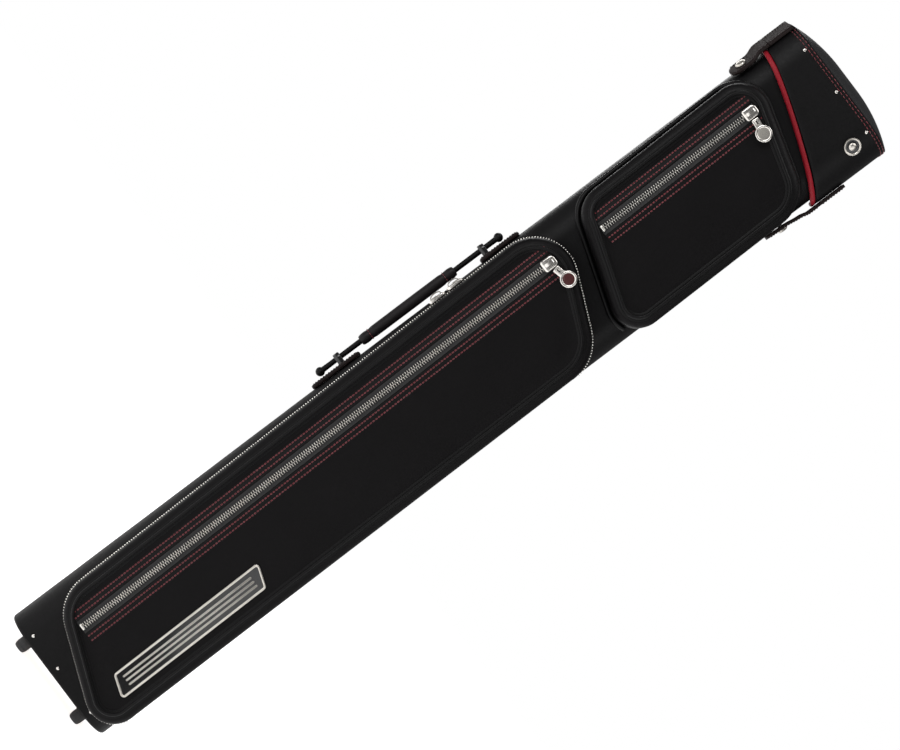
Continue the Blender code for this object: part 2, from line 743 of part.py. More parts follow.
def nameplate_plan(half):
    """Plan of the plain nameplate: a long bar with leaning ends."""
    def outline_at(inset):
        corners = ((half - 4.0, -11.0), (half + 4.0, 11.0), (-half + 4.0, 11.0), (-half - 4.0, -11.0))
        return rounded(corners, (3.5,) * 4, inset, 3)
    return outline_at


def pull_plan(steps=16):
    """Plan of a pull: a neck that runs into a round disc."""
    half = 3.3
    start = -0.4
    middle = PULL_LENGTH - PULL_DISC_RADIUS
    meet = math.pi - math.asin(half / PULL_DISC_RADIUS)
    points = [(start, half)]
    for step in range(steps + 1):
        turn = meet - 2.0 * meet * step / steps
        points.append((middle + PULL_DISC_RADIUS * math.cos(turn), PULL_DISC_RADIUS * math.sin(turn)))
    points.append((start, -half))
    return points


def build_pull(name, place, zip_line, face, lean):
    """Pull lying on the pocket, hinged beside its slider, with a shallow round recess."""
    along = direction_of(*zip_line)
    turn = math.atan2(-along.x, along.y) + math.radians(lean)
    reach = Vector((math.cos(turn), 0.0, math.sin(turn)))
    across = Vector((-reach.z, 0.0, reach.x))
    out = Vector((0.0, -1.0, 0.0))
    pivot = Vector((place[0], face, place[1])) + reach * (0.5 * SLIDER_WIDTH + 1.5) + out * PULL_LIFT
    plan = pull_plan()
    half = 0.5 * PULL_THICK
    loops = plate(pivot, reach, across, out, lambda inset: plan, ((0.0, -half), (0.0, half)))
    pull = new_node(name, [(loops, False)], "nickel", tuple(pivot))
    middle = pivot + reach * (PULL_LENGTH - PULL_DISC_RADIUS) + out * (half - PULL_RECESS_DEPTH)
    recess = turned(middle, out, [(PULL_DISC_RADIUS - 2.2, 0.0), (PULL_DISC_RADIUS - 2.2, 2.0)], 20)
    cut(pull, new_cutter(name + "_recess", [(recess, False)]))


def build_large_pocket():
    """The large pocket: a fixed gusset and a door that opens on its right side."""
    shape = (LARGE_SEAM, LARGE_SEAM_RADII, LARGE_ROLL)
    rim = 2.1
    chain_low = 0.3
    chain_high = 1.8
    build_gusset("large_pocket_gusset", *shape, LARGE_SPLIT + rim)
    run = open_run(*shape, 0.0)
    fixed = side_strip(run, rectangle_section(-3.0, 0.8, chain_low, chain_high), LARGE_SPLIT)
    new_node("perimeter_chain_fixed", [(fixed, False)], "zip_metal")
    side = direction_of(run[-1], run[0])
    edge = [Vector(run[-1]) + side * 0.6, Vector(run[0]) - side * 0.6]
    strip = side_strip(edge, rectangle_section(-POCKET_WALL, 0.0, -chain_high, chain_high), LARGE_SPLIT)
    new_node("large_pocket_hinge", [(strip, False)], "fabric")

    outward = Vector((side.y, -side.x))
    middle = (edge[0] + edge[1]) * 0.5 + outward
    pivot = (middle.x, LARGE_SPLIT, middle.y)
    door = panel_loops(*shape, LARGE_SPLIT - rim, LARGE_FACE)
    new_node("pocket_door", [(door, False)], "leather", pivot)
    moving = side_strip(run, rectangle_section(-3.0, 0.8, -chain_high, -chain_low), LARGE_SPLIT)
    new_node("perimeter_chain_door", [(moving, False)], "zip_metal", pivot)
    piping = bead(*shape, LARGE_ROLL + 1.2, 1.6, LARGE_FACE)
    new_node("pocket_door_piping", [(piping, True)], "leather", pivot)
    build_face_zip("large", LARGE_ZIP, LARGE_FACE, pivot, 13.0)

    low, high = NAMEPLATE
    along = direction_of(low, high)
    half = 0.5 * (Vector(high) - Vector(low)).length
    middle = (Vector(low) + Vector(high)) * 0.5
    loops = plate(
        (middle.x, LARGE_FACE, middle.y),
        Vector((along.x, 0.0, along.y)),
        Vector((-along.y, 0.0, along.x)),
        Vector((0.0, -1.0, 0.0)),
        nameplate_plan(half),
        ((0.4, GAP), (0.0, 0.6), (0.0, 1.2), (0.5, 1.6), (1.6, 1.6), (2.2, 1.1)),
    )
    new_node("pocket_nameplate", [(loops, False)], "nickel", pivot)

    top = (run[13], run[14])
    slope = direction_of(*top)
    out = Vector((slope.y, 0.0, -slope.x))
    for name, height in zip(("lower", "upper"), PERIMETER_SLIDER_Z):
        share = (height - top[0][1]) / (top[1][1] - top[0][1])
        across = top[0][0] + (top[1][0] - top[0][0]) * share
        seat = (across, LARGE_SPLIT, height)
        facing_way = 1.0 if name == "lower" else -1.0
        along = Vector((-slope.x, 0.0, -slope.y)) * facing_way
        layers = ((0.6, 1.1), (0.0, 1.8), (0.0, 4.2), (1.4, 5.0), (2.6, 5.2), (2.6, 7.8), (3.2, 8.6))
        loops = plate(seat, along, Vector((0.0, 1.0, 0.0)), out, slider_plan(8.4, 4.6), layers)
        new_node("perimeter_slider_" + name, [(loops, False)], "nickel", seat)


def build_face_zip(size, zip_line, face, pivot, lean):
    """Zip with its tape, slider and pull on a pocket's face."""
    along = direction_of(*zip_line)
    aside = Vector((along.y, 0.0, -along.x))
    tape = 0.5 * TAPE_WIDTH
    chain = 0.5 * CHAIN_WIDTH
    section = [(-tape, GAP), (tape, GAP), (tape, TAPE_LIFT), (chain, TAPE_LIFT), (chain, CHAIN_LIFT)]
    section += [(-chain, CHAIN_LIFT), (-chain, TAPE_LIFT), (-tape, TAPE_LIFT)]
    ends = (Vector(zip_line[0]) - along * ZIP_OVERRUN, Vector(zip_line[1]) + along * ZIP_OVERRUN)
    path = [(end.x, face, end.y) for end in ends]
    loops = swept(path, [(aside, (0.0, -1.0, 0.0))] * 2, section)
    new_node(size + "_zip_chain", [(loops, False)], "zip_metal", pivot)
    place = zip_line[1]
    build_slider(size + "_zip_slider", place, zip_line, face)
    build_pull(size + "_zip_pull", place, zip_line, face, lean)


def build_small_pocket():
    """The small pocket: gusset, rolled front panel, two pipings and its zip."""
    shape = (SMALL_SEAM, SMALL_SEAM_RADII, SMALL_ROLL)
    build_gusset("small_pocket_gusset", *shape, SMALL_SPLIT + GAP)
    panel = panel_loops(*shape, SMALL_SPLIT, SMALL_FACE)
    new_node("small_pocket_panel", [(panel, False)], "leather")
    piping = bead(*shape, SMALL_ROLL + 2.0, 1.9, SMALL_FACE)
    new_node("small_pocket_piping", [(piping, True)], "leather")
    build_face_zip("small", SMALL_ZIP, SMALL_FACE, None, -6.0)

    radius = 2.3
    points = [point for point in open_run(*shape, -(radius + GAP)) if point[0] < 58.0]
    path = [(point[0], surface_depth(point[0], radius + GAP), point[1]) for point in points]
    normals = []
    for index, out in enumerate(out_directions(points, False)):
        before = Vector(path[max(index - 1, 0)])
        after = Vector(path[min(index + 1, len(path) - 1)])
        along = (after - before).normalized()
        level_out = Vector((out.x, 0.0, out.y))
        over = along.cross(level_out).normalized()
        normals.append((over.cross(along).normalized(), over))
    loops = swept(path, normals, circle_section(radius, 8))
    new_node("small_pocket_base_piping", [(loops, False)], "leather")


def build_case():
    """The whole case, group by group."""
    clear_scene()
    build_body()
    build_tubes()
    build_lid()
    build_hinge()
    build_straps()
    build_handle()
    build_large_pocket()
    build_small_pocket()


build_case()
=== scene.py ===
"""Looks of the cue case: leather, piping, stitching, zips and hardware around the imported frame."""

import math

import bmesh
import bpy
from mathutils import Matrix, Vector, noise


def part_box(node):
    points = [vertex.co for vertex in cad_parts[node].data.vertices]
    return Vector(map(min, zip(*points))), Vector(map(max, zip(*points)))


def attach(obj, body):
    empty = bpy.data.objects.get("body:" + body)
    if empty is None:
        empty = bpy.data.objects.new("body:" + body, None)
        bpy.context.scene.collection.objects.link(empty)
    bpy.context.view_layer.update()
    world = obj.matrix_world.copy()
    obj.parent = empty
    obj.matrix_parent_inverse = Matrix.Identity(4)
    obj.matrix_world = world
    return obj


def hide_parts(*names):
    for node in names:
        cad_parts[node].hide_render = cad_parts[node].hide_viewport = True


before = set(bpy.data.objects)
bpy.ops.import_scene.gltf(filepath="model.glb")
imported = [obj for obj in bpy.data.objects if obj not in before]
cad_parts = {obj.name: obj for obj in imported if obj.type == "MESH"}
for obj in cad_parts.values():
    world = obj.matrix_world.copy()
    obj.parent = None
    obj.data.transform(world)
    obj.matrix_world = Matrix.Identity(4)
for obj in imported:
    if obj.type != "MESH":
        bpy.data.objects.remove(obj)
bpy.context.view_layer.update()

# Distances below are millimetres from the body's middle (across, depth) and from FOOT_HEIGHT up (along).
MM = 0.001
# Loops with at least this many points are closed round their middle.
CAP_FAN = 40
# Steps round each corner of a pocket.
CORNER_STEPS = 14
body_low, body_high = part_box("body_shell")
FOOT_HEIGHT = 6.5
ORIGIN = Vector(((body_low.x + body_high.x) / 2, (body_low.y + body_high.y) / 2, FOOT_HEIGHT * MM))


def case_box(node):
    """A node's box in case millimetres."""
    low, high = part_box(node)
    return (low - ORIGIN) / MM, (high - ORIGIN) / MM


# Radius of the body's corners, and the corners' centres.
BODY_R = 27.0
CORNER_X = (body_high.x - body_low.x) / 2 / MM - BODY_R
CORNER_Y = (body_high.y - body_low.y) / 2 / MM - BODY_R
BODY_LOW = case_box("body_shell")[0].z
BODY_TOP = case_box("body_shell")[1].z
# Lid: how far it stands out, its wall, and the height and fall of its lower edge.
LID_OUT = 6.0
LID_WALL = 4.7
LID_EDGE = 835.9
LID_FALL = 46.0
LID_FALL_POWER = 1.3
LID_BACK = 836.0
LID_TOP = case_box("lid_shell")[1].z
DOME_TOP = case_box("lid_dome")[1].z
BADGE_X = 49.2
# Pockets, each (seam corners as (across, along), their radii, roll), their faces and the large one's split.
LARGE = (((60.6, 16.6), (56.1, 545.9), (-53.7, 594.0), (-44.9, 58.5)), (17.0, 34.0, 29.0, 29.0), 8.0)
SMALL = (((61.0, 586.5), (58.3, 772.0), (-52.7, 804.0), (-49.4, 623.0)), (17.0, 29.0, 20.0, 20.0), 7.0)
LARGE_FACE = case_box("pocket_door")[0].y
SMALL_FACE = case_box("small_pocket_panel")[0].y
SPLIT = -47.0
# Lines of the face zips and of the nameplate, from their lower to their upper end.
LARGE_ZIP = ((-20.4, 62.0), (-28.2, 567.0))
SMALL_ZIP = ((-24.7, 627.5), (-27.6, 784.0))
NAMEPLATE = ((39.6, 50.0), (37.4, 208.0))
# Handle: the cord's line and the radius of its ball ends.
HANDLE_X = -74.5
BALL_RADIUS = 4.25
# Directions.
FRONT = Vector((0.0, -1.0, 0.0))
BACK = Vector((0.0, 1.0, 0.0))
UP = Vector((0.0, 0.0, 1.0))
WHITE = (1.0, 1.0, 1.0, 1.0)
# Stitches: the thread's share of half a pitch, its swell along a stitch (place, size, rise), its section.
STITCH_SHARE = 0.39
STITCH_SHAPE = (
    (-1.0, 0.35, -0.25), (-0.6, 0.85, 0.12), (0.0, 1.0, 0.26), (0.6, 0.85, 0.12), (1.0, 0.35, -0.25))
STITCH_RING = [(math.cos(turn), math.sin(turn)) for turn in (0.0, 1.047, 2.094, 3.142, 4.189, 5.236)]
# Teeth of the zip round the large pocket.
TOOTH_PITCH = 2.4
TOOTH_TRIM = 5.0
# Length of a face zip beyond its slider's two places.
ZIP_OVERRUN = 6.6


# ---------------------------------------------------------------- materials
class Shader:
    """A Principled material whose details come from procedural nodes."""

    def __init__(self, name, colour, roughness, metallic=0.0, **sockets):
        self.made = bpy.data.materials.new(name)
        self.made.use_nodes = True
        self.tree = self.made.node_tree
        self.main = self.tree.nodes["Principled BSDF"]
        self.main.inputs["Base Color"].default_value = (*colour, 1.0)
        self.main.inputs["Roughness"].default_value = roughness
        self.main.inputs["Metallic"].default_value = metallic
        for socket, value in sockets.items():
            self.main.inputs[socket.replace("_", " ")].default_value = value
        self.made.diffuse_color = (*colour, 1.0)
        self.place = self.add("ShaderNodeTexCoord").outputs["Object"]
        self.normal = None

    def add(self, kind, **values):
        made = self.tree.nodes.new(kind)
        for key, value in values.items():
            if key in made.inputs:
                if isinstance(value, bpy.types.NodeSocket):
                    self.tree.links.new(value, made.inputs[key])
                else:
                    made.inputs[key].default_value = value
            else:
                setattr(made, key, value)
        return made

    def noise(self, scale, detail=3.0, roughness=0.5, place=None):
        place = place or self.place
        made = self.add("ShaderNodeTexNoise", Scale=scale, Detail=detail, Roughness=roughness, Vector=place)
        return made.outputs["Fac"]

    def cells(self, scale):
        made = self.add("ShaderNodeTexVoronoi", Scale=scale, Vector=self.place)
        return made.outputs["Distance"]

    def stretch(self, *scale):
        return self.add("ShaderNodeMapping", Scale=scale, Vector=self.place).outputs["Vector"]

    def wave(self, scale, direction):
        made = self.add("ShaderNodeTexWave", Scale=scale, bands_direction=direction, Vector=self.place)
        return made.outputs["Fac"]

    def ramp(self, socket, value, *stops):
        """Drives a socket of the material from a value, through colours or grey levels."""
        made = self.add("ShaderNodeValToRGB", Fac=value)
        line = made.color_ramp
        while len(line.elements) < len(stops):
            line.elements.new(0.5)
        for element, (where, colour) in zip(line.elements, stops):
            element.position = where
            element.color = (*colour, 1.0) if isinstance(colour, tuple) else (colour, colour, colour, 1.0)
        self.tree.links.new(made.outputs["Color"], self.main.inputs[socket])

    def bump(self, height, strength, distance):
        made = self.add("ShaderNodeBump", Strength=strength, Distance=distance, Height=height)
        if self.normal:
            self.tree.links.new(self.normal, made.inputs["Normal"])
        self.normal = made.outputs["Normal"]
        self.tree.links.new(self.normal, self.main.inputs["Normal"])


def mixed(colour, share):
    """A lighter or darker shade of a colour."""
    return tuple(min(1.0, part * share) for part in colour)


def leather(name, colour, roughness, grain=850.0, depth=0.35, lumps=0.5, scuff=1.5, shine=0.14):
    """Grained leather: fine cells, soft undulation, worn lighter patches."""
    made = Shader(name, colour, roughness, Specular_IOR_Level=shine)
    patches = made.noise(16.0, 5.0, 0.6)
    made.ramp("Base Color", patches, (0.3, mixed(colour, 0.8)), (0.62, colour), (0.8, mixed(colour, scuff)))
    fine = made.noise(420.0, 3.0, 0.6)
    made.ramp("Roughness", fine, (0.25, roughness - 0.08), (0.75, roughness + 0.1))
    made.bump(made.noise(22.0, 2.0, 0.45), lumps, 0.0012)
    made.bump(made.cells(grain), depth, 0.00016)
    made.bump(made.noise(grain * 2.6, 2.0, 0.6), depth * 0.5, 0.00006)
    return made.made


def cloth(name, colour, roughness=0.85, threads=1500.0, depth=0.6, contrast=0.35):
    """Woven tape or lining."""
    made = Shader(name, colour, roughness, Sheen_Weight=0.25, Sheen_Roughness=0.5)
    weave = made.add("ShaderNodeMath", operation="MULTIPLY")
    for socket, direction in zip(weave.inputs, "XZ"):
        made.tree.links.new(made.wave(threads, direction), socket)
    dark, light = mixed(colour, 1.0 - contrast), mixed(colour, 1.0 + contrast)
    made.ramp("Base Color", made.noise(90.0, 4.0), (0.3, dark), (0.7, light))
    made.bump(weave.outputs[0], depth, 0.0002)
    return made.made


def metal(name, colour, roughness, brushed=None):
    """Plated metal with fine scratches, or brushed along one axis."""
    made = Shader(name, colour, roughness, 1.0)
    place = made.stretch(*brushed) if brushed else made.place
    marks = made.noise(700.0, 4.0, 0.65, place)
    made.ramp("Roughness", marks, (0.3, roughness * 0.75), (0.7, roughness * 1.5))
    made.ramp("Base Color", made.noise(60.0), (0.3, mixed(colour, 0.82)), (0.7, colour))
    made.bump(marks, 0.12, 0.00004)
    return made.made


def plastic(name, colour, roughness, texture=900.0, depth=0.1):
    """Moulded plastic or rubber with a faint texture."""
    made = Shader(name, colour, roughness)
    fine = made.noise(texture, 3.0, 0.6)
    made.ramp("Roughness", made.noise(40.0, 4.0), (0.3, roughness * 0.85), (0.7, min(1.0, roughness * 1.25)))
    made.ramp("Base Color", fine, (0.3, mixed(colour, 0.85)), (0.75, mixed(colour, 1.25)))
    made.bump(fine, depth, 0.0001)
    return made.made


def thread(name, colour):
    """Twisted sewing thread."""
    made = Shader(name, colour, 0.6, Sheen_Weight=0.3, Sheen_Roughness=0.4)
    made.ramp("Base Color", made.noise(1800.0, 2.0), (0.3, mixed(colour, 0.55)), (0.7, mixed(colour, 1.25)))
    made.bump(made.wave(1400.0, "DIAGONAL"), 0.5, 0.0001)
    return made.made


def wood(name, colour):
    """Raw board end."""
    made = Shader(name, colour, 0.7)
    grain = made.noise(120.0, 5.0, 0.65, made.stretch(1.0, 6.0, 1.0))
    made.ramp("Base Color", grain, (0.3, mixed(colour, 0.6)), (0.7, mixed(colour, 1.3)))
    made.bump(grain, 0.3, 0.0002)
    return made.made


BLACK = leather("black_leather", (0.0026, 0.0024, 0.0027), 0.48)
PANEL = leather("panel_leather", (0.0024, 0.0020, 0.0023), 0.52, 900.0, 0.3, 0.7, 1.5, 0.1)
BEAD = leather("bead_leather", (0.0022, 0.002, 0.0022), 0.42, 1100.0, 0.25, 0.3)
# Cap leather: the black leather painted a lighter grey, a painted highlight for light falling on the lid's
# domed top.
CAP_PAINTED_HIGHLIGHT = leather("cap_leather_painted_highlight", (0.008, 0.008, 0.009), 0.42, 800.0, 0.35, 0.35)
BROWN = leather("strap_leather", (0.0085, 0.0045, 0.0042), 0.5, 950.0, 0.45, 0.5)
RED = leather("red_leather", (0.25, 0.010, 0.018), 0.42, 1100.0, 0.3, 0.3, 1.25)
GRIP = leather("grip_leather", (0.012, 0.0105, 0.011), 0.38, 1000.0, 0.4, 0.4)
THREAD = thread("red_thread", (0.14, 0.004, 0.011))
DARK_THREAD = thread("dark_thread", (0.02, 0.010, 0.010))
TAPE = cloth("zip_tape", (0.0055, 0.005, 0.0055))
LINING = cloth("lining_cloth", (0.03, 0.004, 0.007), 0.9, 900.0, 0.3, 0.12)
FOAM = cloth("collar_cloth", (0.03, 0.006, 0.009), 0.95, 600.0)
NICKEL = metal("bright_nickel", (0.72, 0.69, 0.65), 0.2)
TEETH = metal("zip_teeth", (0.80, 0.78, 0.73), 0.24)
BRUSHED = metal("brushed_nickel", (0.58, 0.55, 0.50), 0.3, (60.0, 1.0, 1.0))
GLOSS = plastic("gloss_black", (0.008, 0.008, 0.0085), 0.16, 500.0, 0.04)
TUBE = plastic("tube_plastic", (0.02, 0.02, 0.021), 0.5)
RUBBER = plastic("foot_rubber", (0.014, 0.014, 0.015), 0.6, 1200.0, 0.3)
ENAMEL = plastic("pull_enamel", (0.045, 0.010, 0.010), 0.25)
BOARD = wood("board", (0.2, 0.13, 0.075))


# ---------------------------------------------------------------- geometry
def to_frame(point):
    """Case millimetres to metres in the part's frame."""
    return ORIGIN + Vector(point) * MM


def add_cap(work, row):
    """Closes a loop: with triangles round its middle where every edge faces it, else with one face."""
    middle = sum((vert.co for vert in row), Vector()) / len(row)
    sides = [vert.co - middle for vert in row]
    turns = [side.cross(after) for side, after in zip(sides, sides[1:] + sides[:1])]
    normal = sum(turns, Vector())
    if len(row) < CAP_FAN or min(turn.dot(normal) for turn in turns) <= 0.0:
        return [work.faces.new(row)]
    centre = work.verts.new(middle)
    return [work.faces.new((centre, here, after)) for here, after in zip(row, row[1:] + row[:1])]


def piece(name, solids, materials, body, replaced=(), sharp=38.0):
    """One visual object from solids, each (loops, ring, material index for each band or None)."""
    work = bmesh.new()
    for solid in solids:
        loops, ring = solid[0], solid[1]
        bands = solid[2] if len(solid) > 2 else None
        rows = [[work.verts.new(to_frame(point)) for point in loop] for loop in loops]
        count = len(rows[0])
        pairs = list(zip(rows, rows[1:]))
        if ring:
            pairs.append((rows[-1], rows[0]))
        for band, (low, high) in enumerate(pairs):
            for first in range(count):
                second = (first + 1) % count
                face = work.faces.new((low[first], low[second], high[second], high[first]))
                face.material_index = bands[band] if bands else 0
        if not ring:
            for row, band in ((rows[0][::-1], 0), (rows[-1], -1)):
                for face in add_cap(work, row):
                    face.material_index = bands[band] if bands else 0
    bmesh.ops.recalc_face_normals(work, faces=work.faces)
    data = bpy.data.meshes.new(name)
    work.to_mesh(data)
    work.free()
    data.shade_smooth()
    data.set_sharp_from_angle(angle=math.radians(sharp))
    made = bpy.data.objects.new(name, data)
    bpy.context.scene.collection.objects.link(made)
    for material in materials if isinstance(materials, (list, tuple)) else [materials]:
        data.materials.append(material)
    if replaced:
        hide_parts(*replaced)
    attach(made, body)
    return made


def rounded(corners, radii, inset=0.0, steps=12):
    """Anticlockwise polygon with every edge moved inwards by inset and every corner rounded."""
    count = len(corners)
    moved = []
    for index in range(count):
        here = Vector(corners[index])
        first = (here - Vector(corners[index - 1])).normalized()
        second = (Vector(corners[(index + 1) % count]) - here).normalized()
        one = Vector((-first.y, first.x))
        two = Vector((-second.y, second.x))
        moved.append(here + (one + two) * inset / (1.0 + one.dot(two)))
    points = []
    for index in range(count):
        here = moved[index]
        back = (moved[index - 1] - here).normalized()
        on = (moved[(index + 1) % count] - here).normalized()
        angle = back.angle(on)
        radius = max(radii[index] - inset, 1.0)
        centre = here + (back + on).normalized() * radius / math.sin(angle / 2.0)
        start = here + back * radius / math.tan(angle / 2.0) - centre
        turn = math.atan2(start.y, start.x)
        for step in range(steps + 1):
            now = turn + (math.pi - angle) * step / steps
            points.append((centre.x + radius * math.cos(now), centre.y + radius * math.sin(now)))
    return points


def box_corners(half_x, half_y):
    """Anticlockwise corners of a rectangle about its middle."""
    return ((half_x, -half_y), (half_x, half_y), (-half_x, half_y), (-half_x, -half_y))


def edge_parts(points, most):
    """How many parts each edge of a closed outline is divided into."""
    afters = points[1:] + points[:1]
    return [max(1, round(math.dist(here, after) / most)) for here, after in zip(points, afters)]


def dense(points, most=9.0, divisions=None):
    """The same closed outline with long edges divided."""
    result = []
    for here, after, parts in zip(points, points[1:] + points[:1], divisions or edge_parts(points, most)):
        for part in range(parts):
            share = part / parts
            result.append((here[0] + (after[0] - here[0]) * share, here[1] + (after[1] - here[1]) * share))
    return result


def section(out, steps=14, most=9.0):
    """Cross-section of the body, moved outwards by out."""
    corners = box_corners(CORNER_X + BODY_R, CORNER_Y + BODY_R)
    return dense(rounded(corners, (BODY_R,) * 4, -out, steps), most)


def pocket(shape, inset, most=12.0):
    """Outline of a pocket, moved inwards by inset, with as many points at every inset."""
    return dense(pocket_corners(shape, -inset), most, edge_parts(pocket_corners(shape), most))


def ripple(point, size, scale=0.012):
    """A smooth repeatable offset, in millimetres, at a place on the leather."""
    return size * noise.noise(Vector(point) * scale)


def outward(points, closed=True):
    """Outward direction at each point of an anticlockwise path."""
    count = len(points)
    found = []
    for index in range(count):
        before = points[index - 1] if closed or index else points[0]
        after = points[(index + 1) % count] if closed or index < count - 1 else points[index]
        along = (Vector(after) - Vector(before)).normalized()
        found.append(Vector((along.y, -along.x)))
    return found


def surface(across, lift=0.0):
    """Depth of the body's front at a distance across, moved outwards by lift."""
    beyond = max(abs(across) - CORNER_X, 0.0)
    radius = BODY_R + lift
    return -CORNER_Y - math.sqrt(max(radius * radius - beyond * beyond, 0.0))


def round_section(radius, steps=14):
    """Round section for cords and pipings."""
    turns = [2.0 * math.pi * step / steps for step in range(steps)]
    return [(radius * math.cos(turn), radius * math.sin(turn)) for turn in turns]


def swept(path, frames, shape):
    """Carries a section (out, over) along a path of points with two directions each."""
    loops = []
    for point, (out, over) in zip(path, frames):
        loops.append([tuple(Vector(point) + Vector(out) * a + Vector(over) * b) for a, b in shape])
    return loops


def headings(path):
    """Direction of an open path at each of its points."""
    points = [Vector(point) for point in path]
    befores, afters = points[:1] + points, points[1:] + points[-1:]
    return [(after - before).normalized() for before, after in zip(befores, afters)]


def frames_for(path, lifts):
    """Two directions at each point of an open path: the nearest to the wished lift, and the one beside it."""
    found = []
    for along, lift in zip(headings(path), lifts):
        out = (lift - along * lift.dot(along)).normalized()
        found.append((out, along.cross(out)))
    return found


def flat_frames(path, over):
    """Two directions at each point of an open path that lies square to over: outwards, and over itself."""
    return [(over.cross(along).normalized(), over) for along in headings(path)]


def turned(centre, axis, profile, steps=28):
    """Loops of a solid turned about an axis: profile holds (radius, distance along the axis)."""
    direction = Vector(axis).normalized()
    helper = Vector((0.0, 0.0, 1.0)) if abs(direction.z) < 0.9 else Vector((1.0, 0.0, 0.0))
    side = direction.cross(helper).normalized()
    up = direction.cross(side)
    loops = []
    for radius, distance in profile:
        ring = []
        for step in range(steps):
            angle = 2.0 * math.pi * step / steps
            offset = side * radius * math.cos(angle) + up * radius * math.sin(angle)
            ring.append(tuple(Vector(centre) + direction * distance + offset))
        loops.append(ring)
    return loops


def walk(path, lifts, step, closed=False, trim=0.0):
    """Even steps along a path, with trim left free at both ends: (point, direction, lift) for each."""
    points = [Vector(point) for point in path]
    ups = [Vector(lift) for lift in lifts] if isinstance(lifts, list) else [Vector(lifts)] * len(points)
    if closed:
        points.append(points[0])
        ups.append(ups[0])
    lengths = [(b - a).length for a, b in zip(points, points[1:])]
    total = sum(lengths) - trim - trim
    count = max(1, int(total / step))
    pitch = total / count
    found = []
    index = 0
    passed = 0.0
    for number in range(count):
        target = trim + pitch * (number + 0.5)
        while index < len(lengths) - 1 and passed + lengths[index] < target:
            passed += lengths[index]
            index += 1
        share = (target - passed) / max(lengths[index], 1e-6)
        along = (points[index + 1] - points[index]).normalized()
        up = ups[index].lerp(ups[index + 1], share).normalized()
        found.append((points[index].lerp(points[index + 1], share), along, up))
    return found


def stitches(name, runs, body, material, pitch, radius):
    """Rows of thread: each stitch is a small bead that dips into the leather at both ends."""
    solids = []
    for path, lifts, closed in runs:
        for centre, along, up in walk(path, lifts, pitch, closed):
            side = along.cross(up).normalized()
            half = pitch * STITCH_SHARE
            loops = []
            for place, size, rise in STITCH_SHAPE:
                middle = centre + along * half * place + up * rise
                loops.append([tuple(middle + (side * a + up * b) * radius * size) for a, b in STITCH_RING])
            solids.append((loops, False))
    piece(name, solids, material, body, sharp=80.0)


# ---------------------------------------------------------------- body and lid
def lay(points, along):
    """Puts a cross-section at one height."""
    return [(point[0], point[1], along) for point in points]


def spread(outs):
    """Level directions from those of a cross-section."""
    return [Vector((out.x, out.y, 0.0)) for out in outs]


def build_body():
    """Leather sleeve with turned edges and a little unevenness along its length."""
    loops = []
    calm = 20.0
    heights = [BODY_LOW, BODY_LOW + 0.5, BODY_LOW + 1.5, BODY_LOW + 4.0, BODY_LOW + 7.0]
    heights += [14.0 + (BODY_TOP - 20.0) * step / 44.0 for step in range(45)]
    heights += [BODY_TOP - 2.0, BODY_TOP - 0.5, BODY_TOP]
    for along in heights:
        inset = max(0.0, BODY_LOW + 1.5 - along) * 0.8 + max(0.0, along - BODY_TOP + 0.5) * 1.4
        loop = []
        for across, depth in section(-inset, 20):
            puff = ripple((across, depth, along), 0.16, 0.022) if calm < along < BODY_TOP - calm else 0.0
            grow = 1.0 + puff / math.hypot(across, depth)
            loop.append((across * grow, depth * grow, along))
        loops.append(loop)
    loops.append(lay(section(-3.0, 20), BODY_TOP - 0.2))
    loops.append(lay(section(-3.0, 20), BODY_LOW + 0.1))
    piece("body_leather", [(loops, True)], BLACK, "case_body", ("body_shell",))


def lid_low(across, depth):
    """Lower edge of the lid, as on the part: falling along the front, level at the back."""
    half = CORNER_X + BODY_R + LID_OUT
    low = LID_EDGE - LID_FALL * max(0.0, min(1.0, (across + half) / (2.0 * half))) ** LID_FALL_POWER
    ease = max(0.0, min(1.0, (depth + 6.0) / 34.0))
    return low + (LID_BACK - low) * ease * ease * (3.0 - 2.0 * ease)


def build_lid():
    """Thick leather lid with a rolled lower edge, a slightly rolled top edge and a padded dome."""
    outline = section(LID_OUT, 22, 6.0)
    inner = section(LID_OUT - LID_WALL, 22, 6.0)
    lows = [lid_low(*point) for point in outline]
    shares = [0.0, 0.02, 0.05, 0.1] + [0.1 + 0.82 * step / 12.0 for step in range(1, 13)] + [0.955, 0.98, 1.0]
    loops = []
    for share in shares:
        loop = []
        for point, out, low in zip(outline, outward(outline), lows):
            along = low + (LID_TOP - low) * share
            soft = 0.55 * max(0.0, 1.0 - share / 0.05) ** 2 + 0.4 * max(0.0, (share - 0.98) / 0.02) ** 2
            wave = ripple((point[0], point[1], along), 0.12, 0.03) if 0.1 < share < 0.95 else 0.0
            loop.append((point[0] + out.x * (wave - soft), point[1] + out.y * (wave - soft), along))
        loops.append(loop)
    loops.append(lay(inner, LID_TOP))
    loops.append([(point[0], point[1], low) for point, low in zip(inner, lows)])
    piece("lid_leather", [(loops, True)], BLACK, "lid", ("lid_shell",))

    low = LID_TOP + 0.3
    rise = DOME_TOP - low
    rim = section(LID_OUT, 22, 6.0)
    domed = [lay(section(LID_OUT - 0.4, 22, 6.0), low)]
    for step in range(20):
        size = 1.0 - 0.95 * (step / 19.0) ** 1.4
        share = 0.05 + 0.95 * (1.0 - size ** 2.5)
        domed.append([(point[0] * size, point[1] * size, low + rise * share) for point in rim])
    # The dome takes the cap leather, whose lighter grey is a painted highlight for light from above.
    piece("lid_dome_leather", [(domed, False)], CAP_PAINTED_HIGHLIGHT, "lid", ("lid_dome",))

    pad = []
    for inset, along in ((3.0, 851.6), (1.4, 852.1), (1.0, 853.4), (1.4, 855.6)):
        pad.append(lay(section(LID_OUT - (LID_WALL + inset), 16), along))
    padding = piece("lid_padding", [(pad, False)], LINING, "lid", ("lid_pad",))


